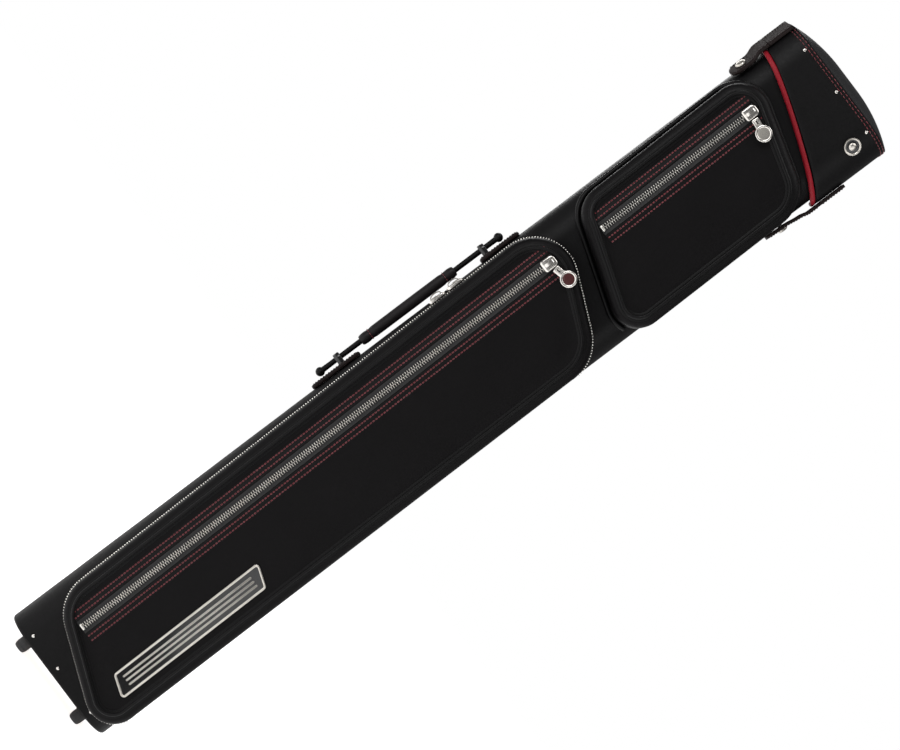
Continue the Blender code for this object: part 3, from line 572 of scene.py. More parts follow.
def build_lid_piping():
    """Red leather cord under the lid's edge, with tapered ends by the hinge."""
    radius = 2.35
    path = [point for point in section(LID_OUT - 2.4, 26, 5.0) if point[1] < 19.0]
    path.sort(key=lambda point: math.atan2(point[0], -point[1]))
    line = []
    for before, (across, depth), after in zip(path[:1] + path, path, path[1:] + path[-1:]):
        slope = (lid_low(*after) - lid_low(*before)) / math.dist(after, before)
        edge = lid_low(across * 1.035, depth * 1.06)
        line.append((across, depth, edge - (radius + 0.5) * math.sqrt(1.0 + slope * slope)))
    loops = swept(line, frames_for(line, spread(outward(path, False))), round_section(radius))
    for end in (0, -1):
        centre = sum((Vector(point) for point in loops[end]), Vector()) / len(loops[end])
        loops[end] = [tuple(centre + (Vector(point) - centre) * 0.6) for point in loops[end]]
    piece("lid_cord", [(loops, False)], RED, "lid", ("lid_piping",))


def build_lid_stitching():
    """Two rows of stitches round the lid under its top edge."""
    ring = section(LID_OUT + 0.05, 22, 5.0)
    runs = [(lay(ring, along), spread(outward(ring)), True) for along in (861.1, 863.9)]
    stitches("lid_stitches", runs, "lid", THREAD, 4.2, 0.36)


def upright(node):
    """Foot of the axis, radius, and lower and upper end of a round upright piece of the part."""
    low, high = case_box(node)
    centre = (low + high) / 2.0
    return (centre.x, centre.y, 0.0), (high.x - low.x) / 2.0, low.z, high.z


def build_tubes():
    """Tubes with rounded mouths."""
    wall = 1.5
    for kind in ("butt_tube_", "shaft_tube_front_", "shaft_tube_rear_"):
        for name in (kind + "left", kind + "right"):
            foot, radius, low, high = upright(name)
            profile = [(radius, low), (radius, high - 1.0), (radius - 0.3, high - 0.2), (radius - 0.75, high)]
            profile += [(radius - 1.2, high - 0.2), (radius - wall, high - 1.0), (radius - wall, low)]
            piece(name + "_liner", [(turned(foot, UP, profile, 40), True)], TUBE, "case_body", (name,))


def build_feet():
    """Moulded feet with a ring groove and a screw recess."""
    for kind in ("foot_front_", "foot_rear_"):
        for name in (kind + "left", kind + "right"):
            foot, radius, low, high = upright(name)
            profile = [(radius - 0.2, high), (radius, high - 0.5), (radius, -2.2), (radius - 0.35, -2.6)]
            profile += [(radius - 0.1, -3.0), (radius - 0.5, -4.8), (radius - 0.9, -5.8)]
            profile += [(radius - 1.6, low + 0.05), (radius - 3.2, low), (2.6, low)]
            profile += [(2.2, low + 1.6), (0.6, low + 1.6)]
            piece(name + "_rubber", [(turned(foot, UP, profile, 36), False)], RUBBER, "case_body", (name,))


def hinge_profile(knuckle):
    """Side outline of a hinge flap as (depth, along): the rolled one on the lid, or the body's."""
    if not knuckle:
        return [
            (33.3, 786.2), (34.6, 786.4), (35.7, 787.6), (36.0, 790.0), (36.2, 812.0), (37.4, 818.0),
            (41.0, 824.6), (41.7, 827.0), (41.6, 831.6), (40.6, 832.5), (38.8, 832.5), (37.4, 830.4),
            (33.3, 826.0)]
    turns = [math.radians(-215.0 + 250.0 * step / 16.0) for step in range(17)]
    roll = [(41.0 + 1.6 * math.cos(turn), 835.0 + 1.6 * math.sin(turn)) for turn in turns]
    return roll + [(42.4, 848.0), (42.3, 857.0), (41.6, 859.2), (39.8, 860.0), (39.3, 859.8), (39.3, 836.5)]


def build_hinge():
    """Leather hinge at the back of the lid: two flaps with softened ends, and their stitching."""
    half = 31.0
    edge = 28.5
    for name, body, rows in (
        ("hinge_flap_lid", "lid", ((857.5, 42.35), (846.0, 42.45))),
        ("hinge_flap_body", "case_body", ((789.5, 36.05), (810.0, 36.25))),
    ):
        shape = hinge_profile(name == "hinge_flap_lid")
        centre_y = sum(p[0] for p in shape) / len(shape)
        centre_z = sum(p[1] for p in shape) / len(shape)
        loops = []
        for place in (-1.0, -0.985, -0.95, -0.6, -0.2, 0.2, 0.6, 0.95, 0.985, 1.0):
            shrink = 0.5 if abs(place) > 0.99 else 0.12 if abs(place) > 0.98 else 0.0
            loop = []
            for depth, along in shape:
                y, z = depth - centre_y, along - centre_z
                keep = max(0.0, 1.0 - shrink / max(math.hypot(y, z), 0.6))
                loop.append((half * place, centre_y + y * keep, centre_z + z * keep))
            loops.append(loop)
        piece(name + "_leather", [(loops, False)], BROWN, body, (name,))
        ends = [[(side, depth, along) for along, depth in rows] for side in (-edge, edge)]
        lines = [list(line) for line in zip(*ends)] + ends
        stitches(name + "_stitches", [(line, BACK, False) for line in lines], body, THREAD, 3.4, 0.4)


def front_normal(across, depth):
    """Outward direction on the rounded front of the body or the lid."""
    beyond = math.copysign(max(abs(across) - CORNER_X, 0.0), across)
    return Vector((beyond, CORNER_Y - abs(depth), 0.0)).normalized()


def build_rivet(name, node, body, radius):
    """A domed head with a rim, on the part's own place."""
    height = 0.8
    low, high = case_box(node)
    centre = (low + high) / 2.0
    out = front_normal(centre.x, centre.y)
    shape = ((1.0, 0.0), (1.0, 0.3), (0.93, 0.55), (0.75, 0.8), (0.45, 0.96), (0.12, 1.0))
    profile = [(radius * wide, height * tall) for wide, tall in shape]
    piece(name, [(turned(centre - out * height * 0.5, out, profile, 24), False)], NICKEL, body, (node,))


def build_badge():
    """A plain round badge: a raised rim round a dark field with a plain boss."""
    low, high = case_box("lid_emblem")
    lean = math.asin((BADGE_X - CORNER_X) / (BODY_R + LID_OUT))
    out = Vector((math.sin(lean), -math.cos(lean), 0.0))
    seat = Vector((CORNER_X, -CORNER_Y, (low.z + high.z) / 2.0)) + out * (BODY_R + LID_OUT + 0.3)
    rim = [(8.0, 0.0), (8.0, 1.0), (7.8, 1.4), (7.3, 1.6), (6.7, 1.45), (6.3, 1.0), (6.1, 0.75)]
    field = [(5.9, 0.72), (3.4, 0.72), (3.1, 0.9), (2.6, 1.4), (1.8, 1.7), (0.6, 1.8)]
    bands = [0] * (len(rim) - 1) + [1] * 2 + [0] * (len(field) - 2)
    solid = (turned(seat, out, rim + field, 48), False, bands)
    piece("lid_badge", [solid], [BRUSHED, GLOSS], "lid", ("lid_emblem",))


# ---------------------------------------------------------------- straps and snaps
def lift_at(lifts, along):
    """Eased reading between the listed lifts."""
    for low, high in zip(lifts, lifts[1:]):
        if along <= high[0]:
            share = max(0.0, (along - low[0]) / (high[0] - low[0]))
            share = share * share * (3.0 - 2.0 * share)
            return low[1] + (high[1] - low[1]) * share
    return lifts[-1][1]


def strap_section(half):
    """Section of a padded strap as (aside, above): flat below, softened edges, a crowned top."""
    right = [(half - 0.8, 0.0), (half - 0.2, 0.4), (half, 1.2), (half - 0.1, 2.2), (half - 0.9, 2.8)]
    right += [(half - 2.4, 3.0), (half - 4.5, 3.0)]
    left = [(-aside, above) for aside, above in right[::-1]]
    return left[-1:] + right + [(0.0, 3.05)] + left[:-1]


def build_strap(name, node, body, side, span, tip):
    """A strip of padded leather with rounded edges and a row of stitches along each side."""
    centre, out, sideways, lifts = side
    low, high = span
    half = 10.0
    curve = half - 1.0
    spots = [(low, half - 0.4), (low + 0.5, half)]
    ends = (2.0, 2.0)
    if tip:
        ends = (3.4, 2.0)
        turns = [math.radians(12.0 + 78.0 * step / 8.0) for step in range(9)]
        spots = [(low + curve * (1.0 - math.cos(t)), half - curve * (1.0 - math.sin(t))) for t in turns]
    start = spots[-1][0]
    count = max(3, round((high - start) / 2.5))
    spots += [(start + (high - start) * step / count, half) for step in range(1, count)]
    spots += [(high - 0.4, half), (high, half - 0.4)]

    def place(along, aside, above):
        return tuple(centre + UP * along + sideways * aside + out * (lift_at(lifts, along) + above))

    loops = [[place(along, aside, above) for aside, above in strap_section(wide)] for along, wide in spots]
    piece(name, [(loops, False)], BROWN, body, (node,))
    alongs = [low + ends[0] + (high - low - sum(ends)) * step / 14.0 for step in range(15)]
    runs = [([place(along, aside, 3.02) for along in alongs], out, False) for aside in (-7.6, 7.6)]
    stitches(name + "_stitches", runs, body, DARK_THREAD, 2.6, 0.3)


def build_straps():
    """Snap strap on each side of the lid: sewn base, hinged flap, its crown, and the post on the body."""
    lean = math.radians(26.0)
    left_out = Vector((-math.cos(lean), -math.sin(lean), 0.0))
    sides = (
        ("right", Vector((0.0, -6.0, 0.0)), Vector((1.0, 0.0, 0.0)), BACK, 65.0, (736.0, 791.0),
         (791.4, 818.7), ((736.0, 67.2), (756.0, 67.8), (772.0, 69.6), (780.0, 71.4), (819.0, 71.4)), 753.0),
        ("left", Vector((-CORNER_X, -CORNER_Y, 0.0)), left_out, left_out.cross(UP), BODY_R, (797.0, 838.0),
         (838.4, 864.0), ((797.0, 29.6), (817.0, 29.8), (829.0, 33.4), (838.0, 33.4), (864.0, 33.4)), 809.4),
    )
    crown = [(5.0, 0.0), (5.0, 0.45), (4.75, 0.7), (4.4, 0.75), (4.2, 1.0)]
    crown += [(3.9, 1.35), (3.2, 1.65), (2.2, 1.85), (0.5, 1.9)]
    for name, centre, out, sideways, reach, flap, base, lifts, snap_z in sides:
        side = (centre, out, sideways, lifts)
        moving = "strap_" + name
        build_strap("strap_sewn_" + name, "strap_base_" + name, "lid", side, base, False)
        build_strap("strap_flap_" + name, "strap_tail_" + name, moving, side, flap, True)
        over = lift_at(lifts, snap_z)
        seat = centre + UP * snap_z
        solid = turned(seat + out * (over + 3.4), out, crown, 40)
        piece("snap_crown_" + name, [(solid, False)], BRUSHED, moving, ("snap_cap_" + name,))
        height = over - reach - 0.6
        post = ((4.0, 0.0), (4.0, 0.25), (3.6, 0.4), (2.5, 0.48), (2.3, 0.7), (2.6, 0.88), (2.1, 1.0))
        post = [(radius, height * share) for radius, share in post]
        solid = turned(seat + out * (reach + 0.3), out, post, 28)
        piece("snap_post_" + name, [(solid, False)], NICKEL, "case_body", ("snap_stud_" + name,))


# ---------------------------------------------------------------- handle
def ball(middle, first, last):
    """Turned outline of one of the cord's ball ends, between two angles from its middle."""
    turns = [math.radians(first + (last - first) * step / 14.0) for step in range(15)]
    return [(BALL_RADIUS * math.cos(turn), middle + BALL_RADIUS * math.sin(turn)) for turn in turns]


def build_rope():
    """Rolled cord with ball ends, and its padded grip with two stitched bands."""
    line = (HANDLE_X, 0.0, 0.0)
    shank = [355.0 + 189.0 * step / 30.0 for step in range(1, 30)]
    cord = ball(351.0, -84.0, 52.0) + [(2.5 + 0.05 * math.sin(along * 0.9), along) for along in shank]
    cord += ball(548.5, -52.0, 84.0)
    piece("handle_rope", [(turned(line, UP, cord), False)], BEAD, "handle", ("handle_cord",))

    start, end = 396.0, 500.0
    grip = [(2.9, start), (3.9, start), (4.5, start + 0.7), (4.85, start + 2.0)]
    for step in range(1, 40):
        along = start + 2.0 + (end - start - 4.0) * step / 40.0
        swell = 5.12 + 0.13 * math.sin(math.pi * (along - start) / (end - start))
        for band in (start + 9.0, start + 12.0, end - 12.0, end - 9.0):
            swell -= 0.45 * math.exp(-((along - band) / 0.9) ** 2)
        grip.append((swell, along))
    grip += [(4.85, end - 2.0), (4.5, end - 0.7), (3.9, end), (2.9, end)]
    piece("handle_grip_leather", [(turned(line, UP, grip, 32), True)], GRIP, "handle", ("handle_grip",))
    turns = [math.radians(turn) for turn in range(0, 360, 15)]
    round_out = [(math.cos(turn), math.sin(turn), 0.0) for turn in turns]
    runs = []
    for along in (start + 10.5, end - 10.5):
        runs.append(([(HANDLE_X + 5.2 * out[0], 5.2 * out[1], along) for out in round_out], round_out, True))
    stitches("handle_grip_stitches", runs, "handle", THREAD, 3.0, 0.34)


def build_tab(name, low, high):
    """Stitched leather tab under a keeper."""
    middle = (low + high) / 2.0
    corners = [(across, middle + along) for across, along in box_corners(13.0, (high - low) / 2.0)]

    def outline(inset, across):
        ring = dense(rounded(corners, (6.0,) * 4, inset, 10), 4.0)
        return [(across, point[0], point[1]) for point in ring]

    layers = ((0.3, -65.3), (0.0, -65.9), (0.0, -67.4), (0.25, -68.2), (0.9, -68.7), (2.0, -68.9))
    layers += ((4.2, -68.9),)
    loops = [outline(*layer) for layer in layers]
    piece("handle_tab_leather_" + name, [(loops, False)], BROWN, "case_body", ("handle_tab_" + name,))
    runs = [(outline(2.8, -68.95), Vector((-1.0, 0.0, 0.0)), True)]
    stitches("handle_tab_stitches_" + name, runs, "case_body", DARK_THREAD, 2.8, 0.32)


def build_keeper(name, along):
    """Glossy arch that holds the cord on its tab."""
    radius = 4.05
    reach = (-69.2, -72.0, -73.5)
    turns = [math.radians(-90.0 + 180.0 * step / 16.0) for step in range(17)]
    arch = [(across, -radius, along) for across in reach]
    arch += [(HANDLE_X - radius * math.cos(turn), radius * math.sin(turn), along) for turn in turns]
    arch += [(across, radius, along) for across in reach[::-1]]
    shape = [(-0.85, -2.6), (-0.6, -2.95), (0.6, -2.95), (0.85, -2.6)]
    shape += [(-out, -over) for out, over in shape]
    solid = swept(arch, flat_frames(arch, UP), shape)
    piece("handle_keeper_" + name, [(solid, False)], GLOSS, "case_body", ("handle_loop_" + name,))


def build_handle():
    """The sliding cord with its grip, and the tabs and keepers it runs through."""
    build_rope()
    build_tab("lower", 337.0, 389.0)
    build_tab("upper", 523.0, 565.0)
    build_keeper("lower", 371.0)
    build_keeper("upper", 531.0)


# ---------------------------------------------------------------- pockets
def banded(name, loops, materials, body, node, **options):
    """A piece whose loops are (points, material index): each band takes its lower loop's material."""
    bands = [material for points, material in loops[:-1]]
    piece(name, [([points for points, material in loops], False, bands)], materials, body, (node,), **options)


def build_gusset(name, node, shape, rim):
    """Side wall of a pocket, drawn in a little between its edges, with its back against the body."""
    outline = pocket(shape, 0.0)
    outs = outward(outline)
    levels = 9

    def on_body(inset, lift, material):
        return [(p[0], min(surface(p[0], lift), -14.0), p[1]) for p in pocket(shape, inset)], material

    def level(inset, depth, material):
        return [(p[0], depth, p[1]) for p in pocket(shape, inset)], material

    loops = [on_body(inset, 0.3, 0) for inset in (36.0, 24.0, 14.0, 7.0, 3.0, 0.8)]
    for step in range(levels + 1):
        share = step / levels
        pull = 0.5 * math.sin(math.pi * share)
        loop = []
        for p, out, back in zip(outline, outs, on_body(0.0, 0.6, 0)[0]):
            depth = back[1] + (rim - back[1]) * share
            wave = 0.35 * noise.noise(Vector((p[0], depth * 2.0, p[1])) * 0.02)
            give = (wave - pull) if 0.0 < share < 1.0 else 0.0
            loop.append((p[0] + out.x * give, depth, p[1] + out.y * give))
        loops.append((loop, 0))
    loops += [level(0.5, rim - 0.35, 0), level(3.1, rim - 0.35, 0), level(3.5, rim, 1)]
    loops += [on_body(inset, 2.5, 1) for inset in (3.6, 5.0, 9.0, 16.0, 26.0, 36.0)]
    banded(name, loops, [BLACK, LINING], "case_body", node)


def build_panel(name, node, shape, rim, face, body, seed):
    """Tray of leather over a lining: rolled edge, then a face that dips and swells a little."""
    roll = shape[2]

    def ring(inset, depth, material, wave=0.0):
        loop = []
        for p in pocket(shape, inset):
            swell = wave * (noise.noise(Vector((p[0] + seed, 0.0, p[1])) * 0.013) - 0.45)
            loop.append((p[0], depth - swell, p[1]))
        return loop, material

    loops = [ring(inset, face + 3.4, 1) for inset in (38.0, 30.0, 20.0, 12.0, roll + 1.0)]
    loops += [ring(5.2, face + 5.6, 1), ring(3.5, face + 8.0, 1), ring(3.5, rim - 0.1, 1)]
    loops += [ring(3.2, rim, 0), ring(0.4, rim, 0), ring(0.0, rim - 0.4, 0)]
    for step in range(9):
        turn = math.radians(90.0 * step / 8.0)
        loops.append(ring(roll - roll * math.cos(turn), face + roll - roll * math.sin(turn), 0))
    waves = ((2.6, 0.1), (5.0, 0.5), (9.0, 0.9), (13.0, 0.9), (18.0, 0.5), (23.0, 0.15), (27.0, 0.0))
    for inset, wave in waves:
        loops.append(ring(roll + inset, face, 0, wave))
    banded(name, loops, [PANEL, LINING], body, node, sharp=60.0)


def build_bead(name, node, shape, inset, radius, face, body):
    """Closed piping with its sewn flange, lying on the face."""
    points = pocket(shape, inset, 7.0)
    path = [(p[0], face - 0.25 - radius, p[1]) for p in points]
    frames = [(out, BACK) for out in upstanding(points, True)]
    wide = radius + 1.9
    flange = [(-wide, radius * 0.8), (-radius * 0.4, radius * 0.35), (radius * 0.4, radius * 0.35)]
    flange += [(wide, radius * 0.8), (wide, radius + 0.2), (-wide, radius + 0.2)]
    solids = [(swept(path, frames, round_section(radius)), True), (swept(path, frames, flange), True)]
    piece(name, solids, BEAD, body, (node,))


def pocket_corners(shape, out=0.0):
    """Outline of a pocket without its long edges divided, moved outwards by out from its outer edge."""
    corners, radii, roll = shape
    return rounded(corners, radii, -out - roll, CORNER_STEPS)


def open_path(shape, out):
    """The outline from the top of the pocket's right side, over the top and round to that side's foot."""
    points = pocket_corners(shape, out)
    run = points[CORNER_STEPS + 1:] + points[:CORNER_STEPS + 1]
    divided = dense(run, 5.0)
    return divided[:divided.index(run[-1]) + 1]


def upstanding(points, closed):
    """Outward directions of a front-view outline, in space."""
    return [Vector((out.x, 0.0, out.y)) for out in outward(points, closed)]


def tooth(centre, along, across, out, long, wide, tall):
    """One metal tooth: a tapered block with a softened crown."""
    quarter = ((-1.0, -0.8), (-0.8, -1.0), (0.8, -1.0), (1.0, -0.8))
    ring = quarter + tuple((-a, -b) for a, b in quarter)
    loops = []
    for lift, keep in ((0.0, 0.85), (tall * 0.3, 1.0), (tall * 0.75, 0.95), (tall, 0.62)):
        loop = []
        for a, b in ring:
            aside = along * a * long * 0.5 * keep + across * b * wide * 0.5 * keep
            loop.append(tuple(centre + aside + out * lift))
        loops.append(loop)
    return loops, False


def build_perimeter(name, node, body, low, high):
    """Half of the zip that runs round the large pocket: woven tape with a row of teeth on its edge."""
    run = open_path(LARGE, 0.0)
    path = [(p[0], SPLIT, p[1]) for p in run]
    outs = upstanding(run, False)
    tape = [(-3.0, low), (0.35, low), (0.35, high), (-3.0, high)]
    piece(name + "_tape", [(swept(path, [(out, BACK) for out in outs], tape), False)], TAPE, body, (node,))
    solids = []
    for centre, along, out in walk(path, outs, TOOTH_PITCH, trim=TOOTH_TRIM):
        middle = centre + BACK * (low + high) / 2.0 + out * 0.1
        solids.append(tooth(middle, along, along.cross(out), out, 0.95, high - low - 0.1, 1.5))
    piece(name + "_teeth", solids, TEETH, body, sharp=60.0)


def on_face(point, face):
    """A front-view point at one depth."""
    return Vector((point[0], face, point[1]))


def build_face_zip(size, line, face, body):
    """Closed zip on a pocket's face: tape, two rows of teeth, a raised welt and two seams on each side."""
    start, end = (on_face(point, face) for point in line)
    along = (end - start).normalized()
    across = along.cross(FRONT).normalized()
    first = start - along * ZIP_OVERRUN
    last = end + along * ZIP_OVERRUN
    path = [first + (last - first) * step / 60.0 for step in range(61)]
    frames = [(across, FRONT)] * len(path)
    tape = [(-6.2, -0.1), (-6.2, 0.75), (-5.6, 0.95), (-2.9, 0.8), (-2.2, 1.15)]
    tape += [(-over, lift) for over, lift in tape[::-1]]
    piece(size + "_zip_tape", [(swept(path, frames, tape), False)], TAPE, body, (size + "_zip_chain",))
    solids = []
    for number, step in enumerate(walk([first + along * 3.0, last - along * 3.0], FRONT, 1.15)):
        side = 1.0 if number % 2 else -1.0
        middle = step[0] + across * side * 1.25 + FRONT * 1.1
        solids.append(tooth(middle, along, across, FRONT, 0.8, 3.1, 1.6))
    for stop in (first + along * 1.5, last - along * 1.5):
        solids.append(tooth(stop + FRONT * 1.0, along, across, FRONT, 2.4, 6.4, 1.7))
    piece(size + "_zip_teeth", solids, TEETH, body, sharp=60.0)
    welt = ((6.5, -0.3), (6.5, 0.7), (7.0, 1.15), (7.9, 1.2), (9.2, 0.75), (15.8, 0.2), (16.2, -0.3))
    sides = [[(side * over, lift) for over, lift in welt] for side in (-1.0, 1.0)]
    piece(size + "_zip_welts", [(swept(path, frames, shape), False) for shape in sides], BLACK, body)
    runs = []
    for offset, lift in ((-9.5, 0.72), (9.5, 0.72), (-14.2, 0.36), (14.2, 0.36)):
        move = across * offset + FRONT * lift
        runs.append(([first + move, last + move], FRONT, False))
    stitches(size + "_zip_stitches", runs, body, THREAD, 3.0, 0.7)


# ---------------------------------------------------------------- sliders, pulls and trim
def plate(origin, along, aside, out, plan, layers):
    """A small part built up from its base: plan gives its outline at an inset."""
    loops = []
    for inset, lift in layers:
        loops.append([tuple(Vector(origin) + along * a + aside * b + out * lift) for a, b in plan(inset)])
    return loops


def bar_plan(half_length, half_width, radii):
    """Plan of a bar with rounded corners."""
    return lambda inset: rounded(box_corners(half_length, half_width), radii, inset, 8)


def slider_solids(seat, along, aside, out, half_length, half_width, low, deck, top):
    """Slider body with a waisted deck and the arched bridge that holds its pull."""
    layers = ((0.9, low), (0.3, low + 0.25), (0.0, low + 0.7), (0.0, deck - 0.9))
    layers += ((0.25, deck - 0.35), (0.9, deck), (2.0, deck + 0.15))
    body = plate(seat, along, aside, out, bar_plan(half_length, half_width, (3.9, 3.9, 2.2, 2.2)), layers)
    layers = ((0.0, deck - 0.2), (0.1, deck + 0.5), (0.5, deck + 0.8))
    centre = seat - along * half_length * 0.3
    rib = plate(centre, along, aside, out, bar_plan(half_length * 0.5, 1.6, (1.2,) * 4), layers)
    arch = []
    reach = half_length * 0.62
    for step in range(13):
        turn = math.pi * step / 12.0
        lift = deck + (top - deck - 0.6) * math.sin(turn) ** 0.6
        arch.append(seat + along * reach * -math.cos(turn) + out * lift)
    shape = [(-0.5, -1.5), (0.3, -1.5), (0.6, -1.1), (0.6, 1.1), (0.3, 1.5), (-0.5, 1.5)]
    return [(body, False), (rib, False), (swept(arch, flat_frames(arch, aside), shape), False)]


def build_slider(size, line, face, body):
    """Slider at the upper end of a face zip."""
    start, seat = (on_face(point, face) for point in line)
    along = (seat - start).normalized()
    solids = slider_solids(seat, along, FRONT.cross(along).normalized(), FRONT, 6.8, 5.5, 3.1, 5.8, 8.2)
    piece(size + "_slider_metal", solids, NICKEL, body, (size + "_zip_slider",), sharp=40.0)


def pull_plan(length, radius, half, inset):
    """Outline of a pull: a neck that widens into a disc, with a rounded start."""
    middle = length - radius
    disc = radius - inset
    neck = half - inset
    meet = math.pi - math.asin(neck / disc)
    points = [(-0.4 + inset, neck * 0.7), (0.2 + inset, neck)]
    for step in range(33):
        turn = meet - 2.0 * meet * step / 32.0
        points.append((middle + disc * math.cos(turn), disc * math.sin(turn)))
    points += [(0.2 + inset, -neck), (-0.4 + inset, -neck * 0.7)]
    return points


def build_pull(size, line, face, lean, body, inlay):
    """Pull with a bevelled blade, a raised rim round its disc and a plain inlay."""
    start, end = (Vector(point) for point in line)
    along = (end - start).normalized()
    turn = math.atan2(-along.x, along.y) + math.radians(lean)
    reach = Vector((math.cos(turn), 0.0, math.sin(turn)))
    across = Vector((-reach.z, 0.0, reach.x))
    pivot = on_face(line[1], face) + reach * 7.0 + FRONT * 5.45
    layers = ((0.35, -0.85), (0.05, -0.6), (0.0, -0.3), (0.0, 0.05), (0.1, 0.3), (0.4, 0.45))
    blade = plate(pivot, reach, across, FRONT, lambda inset: pull_plan(22.0, 7.5, 3.3, inset), layers)
    hub = pivot + reach * 14.5
    profile = [(7.35, 0.3), (7.25, 0.62), (6.9, 0.84), (6.3, 0.86), (5.7, 0.7), (5.35, 0.42), (5.3, 0.3)]
    rim = turned(hub, FRONT, profile, 48)
    layers = ((0.0, 0.4), (0.1, 0.7), (0.5, 0.85))
    rib = plate(pivot + reach * 3.2, reach, across, FRONT, bar_plan(2.6, 0.9, (0.8,) * 4), layers)
    solids = [(blade, False), (rim, True), (rib, False)]
    piece(size + "_pull_metal", solids, NICKEL, body, (size + "_zip_pull",))
    disc = turned(hub, FRONT, [(5.28, 0.3), (5.2, 0.5), (4.7, 0.56), (1.0, 0.58)], 48)
    piece(size + "_pull_inlay", [(disc, False)], inlay, body)


def build_nameplate():
    """A plain bar with leaning ends: a raised border and ribs of metal round a dark field."""
    low, high = (on_face(point, LARGE_FACE) for point in NAMEPLATE)
    along = (high - low).normalized()
    half = (high - low).length / 2.0
    seat = (low + high) / 2.0
    aside = Vector((-along.z, 0.0, along.x))
    lean = 4.0
    side = 11.0

    def plan(inset):
        corners = ((half - lean, -side), (half + lean, side), (-half + lean, side), (-half - lean, -side))
        return rounded(corners, (3.5,) * 4, inset, 8)

    layers = ((0.5, 0.2), (0.1, 0.5), (0.0, 0.9), (0.15, 1.35), (0.6, 1.6), (1.2, 1.62))
    layers += ((1.7, 1.45), (2.0, 1.05), (2.15, 0.95))
    border = plate(seat, along, aside, FRONT, plan, layers)
    bands = [0] * (len(layers) - 2) + [1]
    piece("nameplate_metal", [(border, False, bands)], [BRUSHED, GLOSS], "pocket_door", ("pocket_nameplate",))
    layers = ((0.0, 0.85), (0.05, 1.2), (0.25, 1.32))
    ribs = []
    for offset in (-4.2, 0.0, 4.2):
        bar = plate(seat + aside * offset, along, aside, FRONT, bar_plan(half - 9.0, 0.9, (0.8,) * 4), layers)
        ribs.append((bar, False))
    piece("nameplate_ribs", ribs, BRUSHED, "pocket_door")


def build_perimeter_sliders():
    """Two sliders head to head on the zip round the large pocket, on its straight left side."""
    run = pocket_corners(LARGE)
    corner = 3 * (CORNER_STEPS + 1)
    top, foot = Vector(run[corner - 1]), Vector(run[corner])
    slope = (foot - top).normalized()
    out = Vector((slope.y, 0.0, -slope.x))
    for name, height, way in (("lower", 472.5, 1.0), ("upper", 491.5, -1.0)):
        share = (height - top.y) / (foot.y - top.y)
        seat = Vector((top.x + (foot.x - top.x) * share, SPLIT, height))
        along = Vector((-slope.x, 0.0, -slope.y)) * way
        solids = slider_solids(seat, along, BACK, out, 8.4, 4.6, 1.1, 4.9, 8.5)
        node = "perimeter_slider_" + name
        piece("perimeter_slider_metal_" + name, solids, NICKEL, "perimeter_" + name, (node,), sharp=40.0)


def build_pocket_trim():
    """Hinge strip of the large pocket and the piping at the foot of the small one."""
    points = pocket_corners(LARGE)
    foot, head = (Vector(point) for point in points[CORNER_STEPS:CORNER_STEPS + 2])
    side = (head - foot).normalized()
    out = Vector((side.y, 0.0, -side.x))
    gap = 0.6
    spots = [foot + side * gap + (head - foot - side * gap * 2.0) * step / 60.0 for step in range(61)]
    path = [on_face(spot, SPLIT) for spot in spots]
    shape = [(-3.5, -1.8), (-0.5, -1.8), (0.0, -1.3), (-0.25, -0.5), (-0.55, 0.0)]
    shape += [(lift, -over) for lift, over in shape[-2::-1]]
    strip = swept(path, [(out, BACK)] * len(path), shape)
    piece("large_pocket_fold", [(strip, False)], TAPE, "case_body", ("large_pocket_hinge",))

    radius = 2.3
    lift = radius + 0.3
    run = [point for point in open_path(SMALL, lift) if point[0] < 58.0]
    line = [(point[0], surface(point[0], lift), point[1]) for point in run]
    cord = swept(line, frames_for(line, upstanding(run, False)), round_section(radius))
    piece("small_pocket_foot_cord", [(cord, False)], BEAD, "case_body", ("small_pocket_base_piping",))


def build_plain_parts():
    """Boards inside, given their grain, and the collar's cloth, on the part's own solids."""
    for node, material in (("base_plug", BOARD), ("lid_plug", BOARD), ("tube_collar", FOAM)):
        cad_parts[node].data.materials[0] = material


# ---------------------------------------------------------------- stage
def build_floor():
    """Plain pale floor."""
    half = 6.0
    data = bpy.data.meshes.new("floor")
    data.from_pydata([(x, y, 0.0) for x, y in box_corners(half, half)], [], [(0, 1, 2, 3)])
    floor = bpy.data.objects.new("floor", data)
    bpy.context.scene.collection.objects.link(floor)
    pale = bpy.data.materials.new("floor_white")
    pale.use_nodes = True
    shader = pale.node_tree.nodes["Principled BSDF"]
    shader.inputs["Base Color"].default_value = (0.93, 0.93, 0.93, 1.0)
    shader.inputs["Roughness"].default_value = 0.9
    shader.inputs["Emission Color"].default_value = WHITE
    shader.inputs["Emission Strength"].default_value = 0.85
    data.materials.append(pale)


def build_world():
    """Soft white light all round, in front of a plain white background."""
    world = bpy.data.worlds.new("soft_white")
    bpy.context.scene.world = world
    world.use_nodes = True
    tree = world.node_tree
    lit = tree.nodes["Background"]
    seen = tree.nodes.new("ShaderNodeBackground")
    for background, strength in ((lit, 0.19), (seen, 1.0)):
        background.inputs["Color"].default_value = WHITE
        background.inputs["Strength"].default_value = strength
    chooser = tree.nodes.new("ShaderNodeMixShader")
    ray = tree.nodes.new("ShaderNodeLightPath")
    tree.links.new(ray.outputs["Is Camera Ray"], chooser.inputs["Fac"])
    tree.links.new(lit.outputs[0], chooser.inputs[1])
    tree.links.new(seen.outputs[0], chooser.inputs[2])
    tree.links.new(chooser.outputs[0], tree.nodes["World Output"].inputs["Surface"])


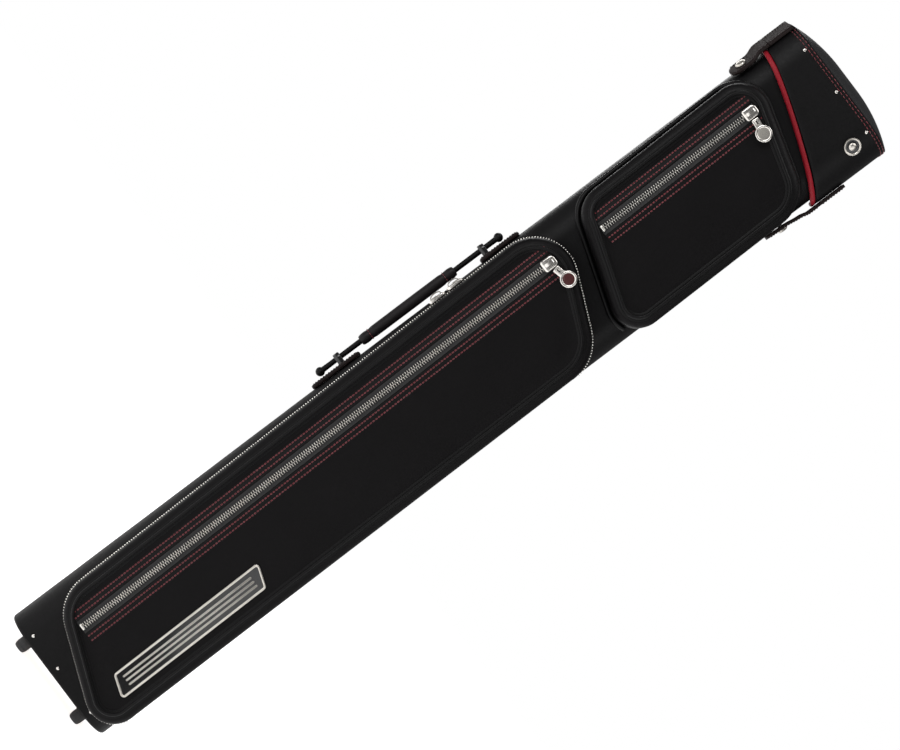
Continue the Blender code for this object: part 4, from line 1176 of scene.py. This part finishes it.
def build_lights():
    """Four soft boxes aimed at the middle of the case."""
    target = Vector((0.0, 0.0, 0.44))
    for name, place, size, power in (
        ("key", (-1.6, -1.9, 1.6), (1.2, 1.8), 34.0),
        ("fill", (1.9, -1.5, 0.7), (1.0, 2.0), 12.0),
        ("rim", (-0.9, 1.6, 1.4), (0.8, 1.6), 20.0),
        ("top", (0.2, -0.4, 2.4), (1.4, 1.4), 18.0),
    ):
        light = bpy.data.lights.new(name, "AREA")
        light.shape = "RECTANGLE"
        light.size, light.size_y = size
        light.energy = power
        lamp = bpy.data.objects.new(name, light)
        lamp.location = place
        lamp.rotation_euler = (target - Vector(place)).to_track_quat("-Z", "Y").to_euler()
        bpy.context.scene.collection.objects.link(lamp)


def build_camera():
    """Camera square to the pockets, turned so that the case lies along the picture's diagonal."""
    data = bpy.data.cameras.new("camera")
    data.sensor_width = 36.0
    data.lens = 112.9
    data.clip_end = 50.0
    camera = bpy.data.objects.new("camera", data)
    bpy.context.scene.collection.objects.link(camera)
    right = Vector((0.602, 0.0, 0.7985))
    axes = (right, FRONT.cross(right), FRONT, Vector((-0.00025, 0.01485 - 2.5, 0.4475)))
    camera.matrix_world = Matrix([[axis[row] for axis in axes] for row in range(3)] + [[0.0, 0.0, 0.0, 1.0]])
    bpy.context.scene.camera = camera
    bpy.context.scene.view_settings.view_transform = "Standard"


def build_case():
    """Every piece, group by group."""
    build_body()
    build_lid()
    build_lid_piping()
    build_lid_stitching()
    build_tubes()
    build_feet()
    build_hinge()
    for place in ("left", "middle", "right"):
        build_rivet("base_rivet_head_" + place, "base_rivet_" + place, "case_body", 1.6)
        build_rivet("lid_rivet_head_" + place, "lid_rivet_" + place, "lid", 1.5)
    build_badge()
    build_straps()
    build_handle()
    build_gusset("large_gusset_leather", "large_pocket_gusset", LARGE, SPLIT + 2.1)
    build_gusset("small_gusset_leather", "small_pocket_gusset", SMALL, -49.7)
    build_panel("large_door_leather", "pocket_door", LARGE, SPLIT - 2.1, LARGE_FACE, "pocket_door", 0.0)
    build_panel("small_panel_leather", "small_pocket_panel", SMALL, -50.0, SMALL_FACE, "case_body", 200.0)
    build_bead("large_door_bead", "pocket_door_piping", LARGE, 9.2, 1.6, LARGE_FACE, "pocket_door")
    build_bead("small_panel_bead", "small_pocket_piping", SMALL, 9.0, 1.9, SMALL_FACE, "case_body")
    build_perimeter("perimeter_fixed", "perimeter_chain_fixed", "case_body", 0.3, 1.8)
    build_perimeter("perimeter_door", "perimeter_chain_door", "pocket_door", -1.8, -0.3)
    build_face_zip("large", LARGE_ZIP, LARGE_FACE, "pocket_door")
    build_face_zip("small", SMALL_ZIP, SMALL_FACE, "case_body")
    build_slider("large", LARGE_ZIP, LARGE_FACE, "large_slider")
    build_slider("small", SMALL_ZIP, SMALL_FACE, "small_slider")
    build_pull("large", LARGE_ZIP, LARGE_FACE, 13.0, "large_pull", ENAMEL)
    build_pull("small", SMALL_ZIP, SMALL_FACE, -6.0, "small_pull", BRUSHED)
    build_nameplate()
    build_perimeter_sliders()
    build_pocket_trim()
    build_plain_parts()


build_case()
build_floor()
build_world()
build_lights()
build_camera()
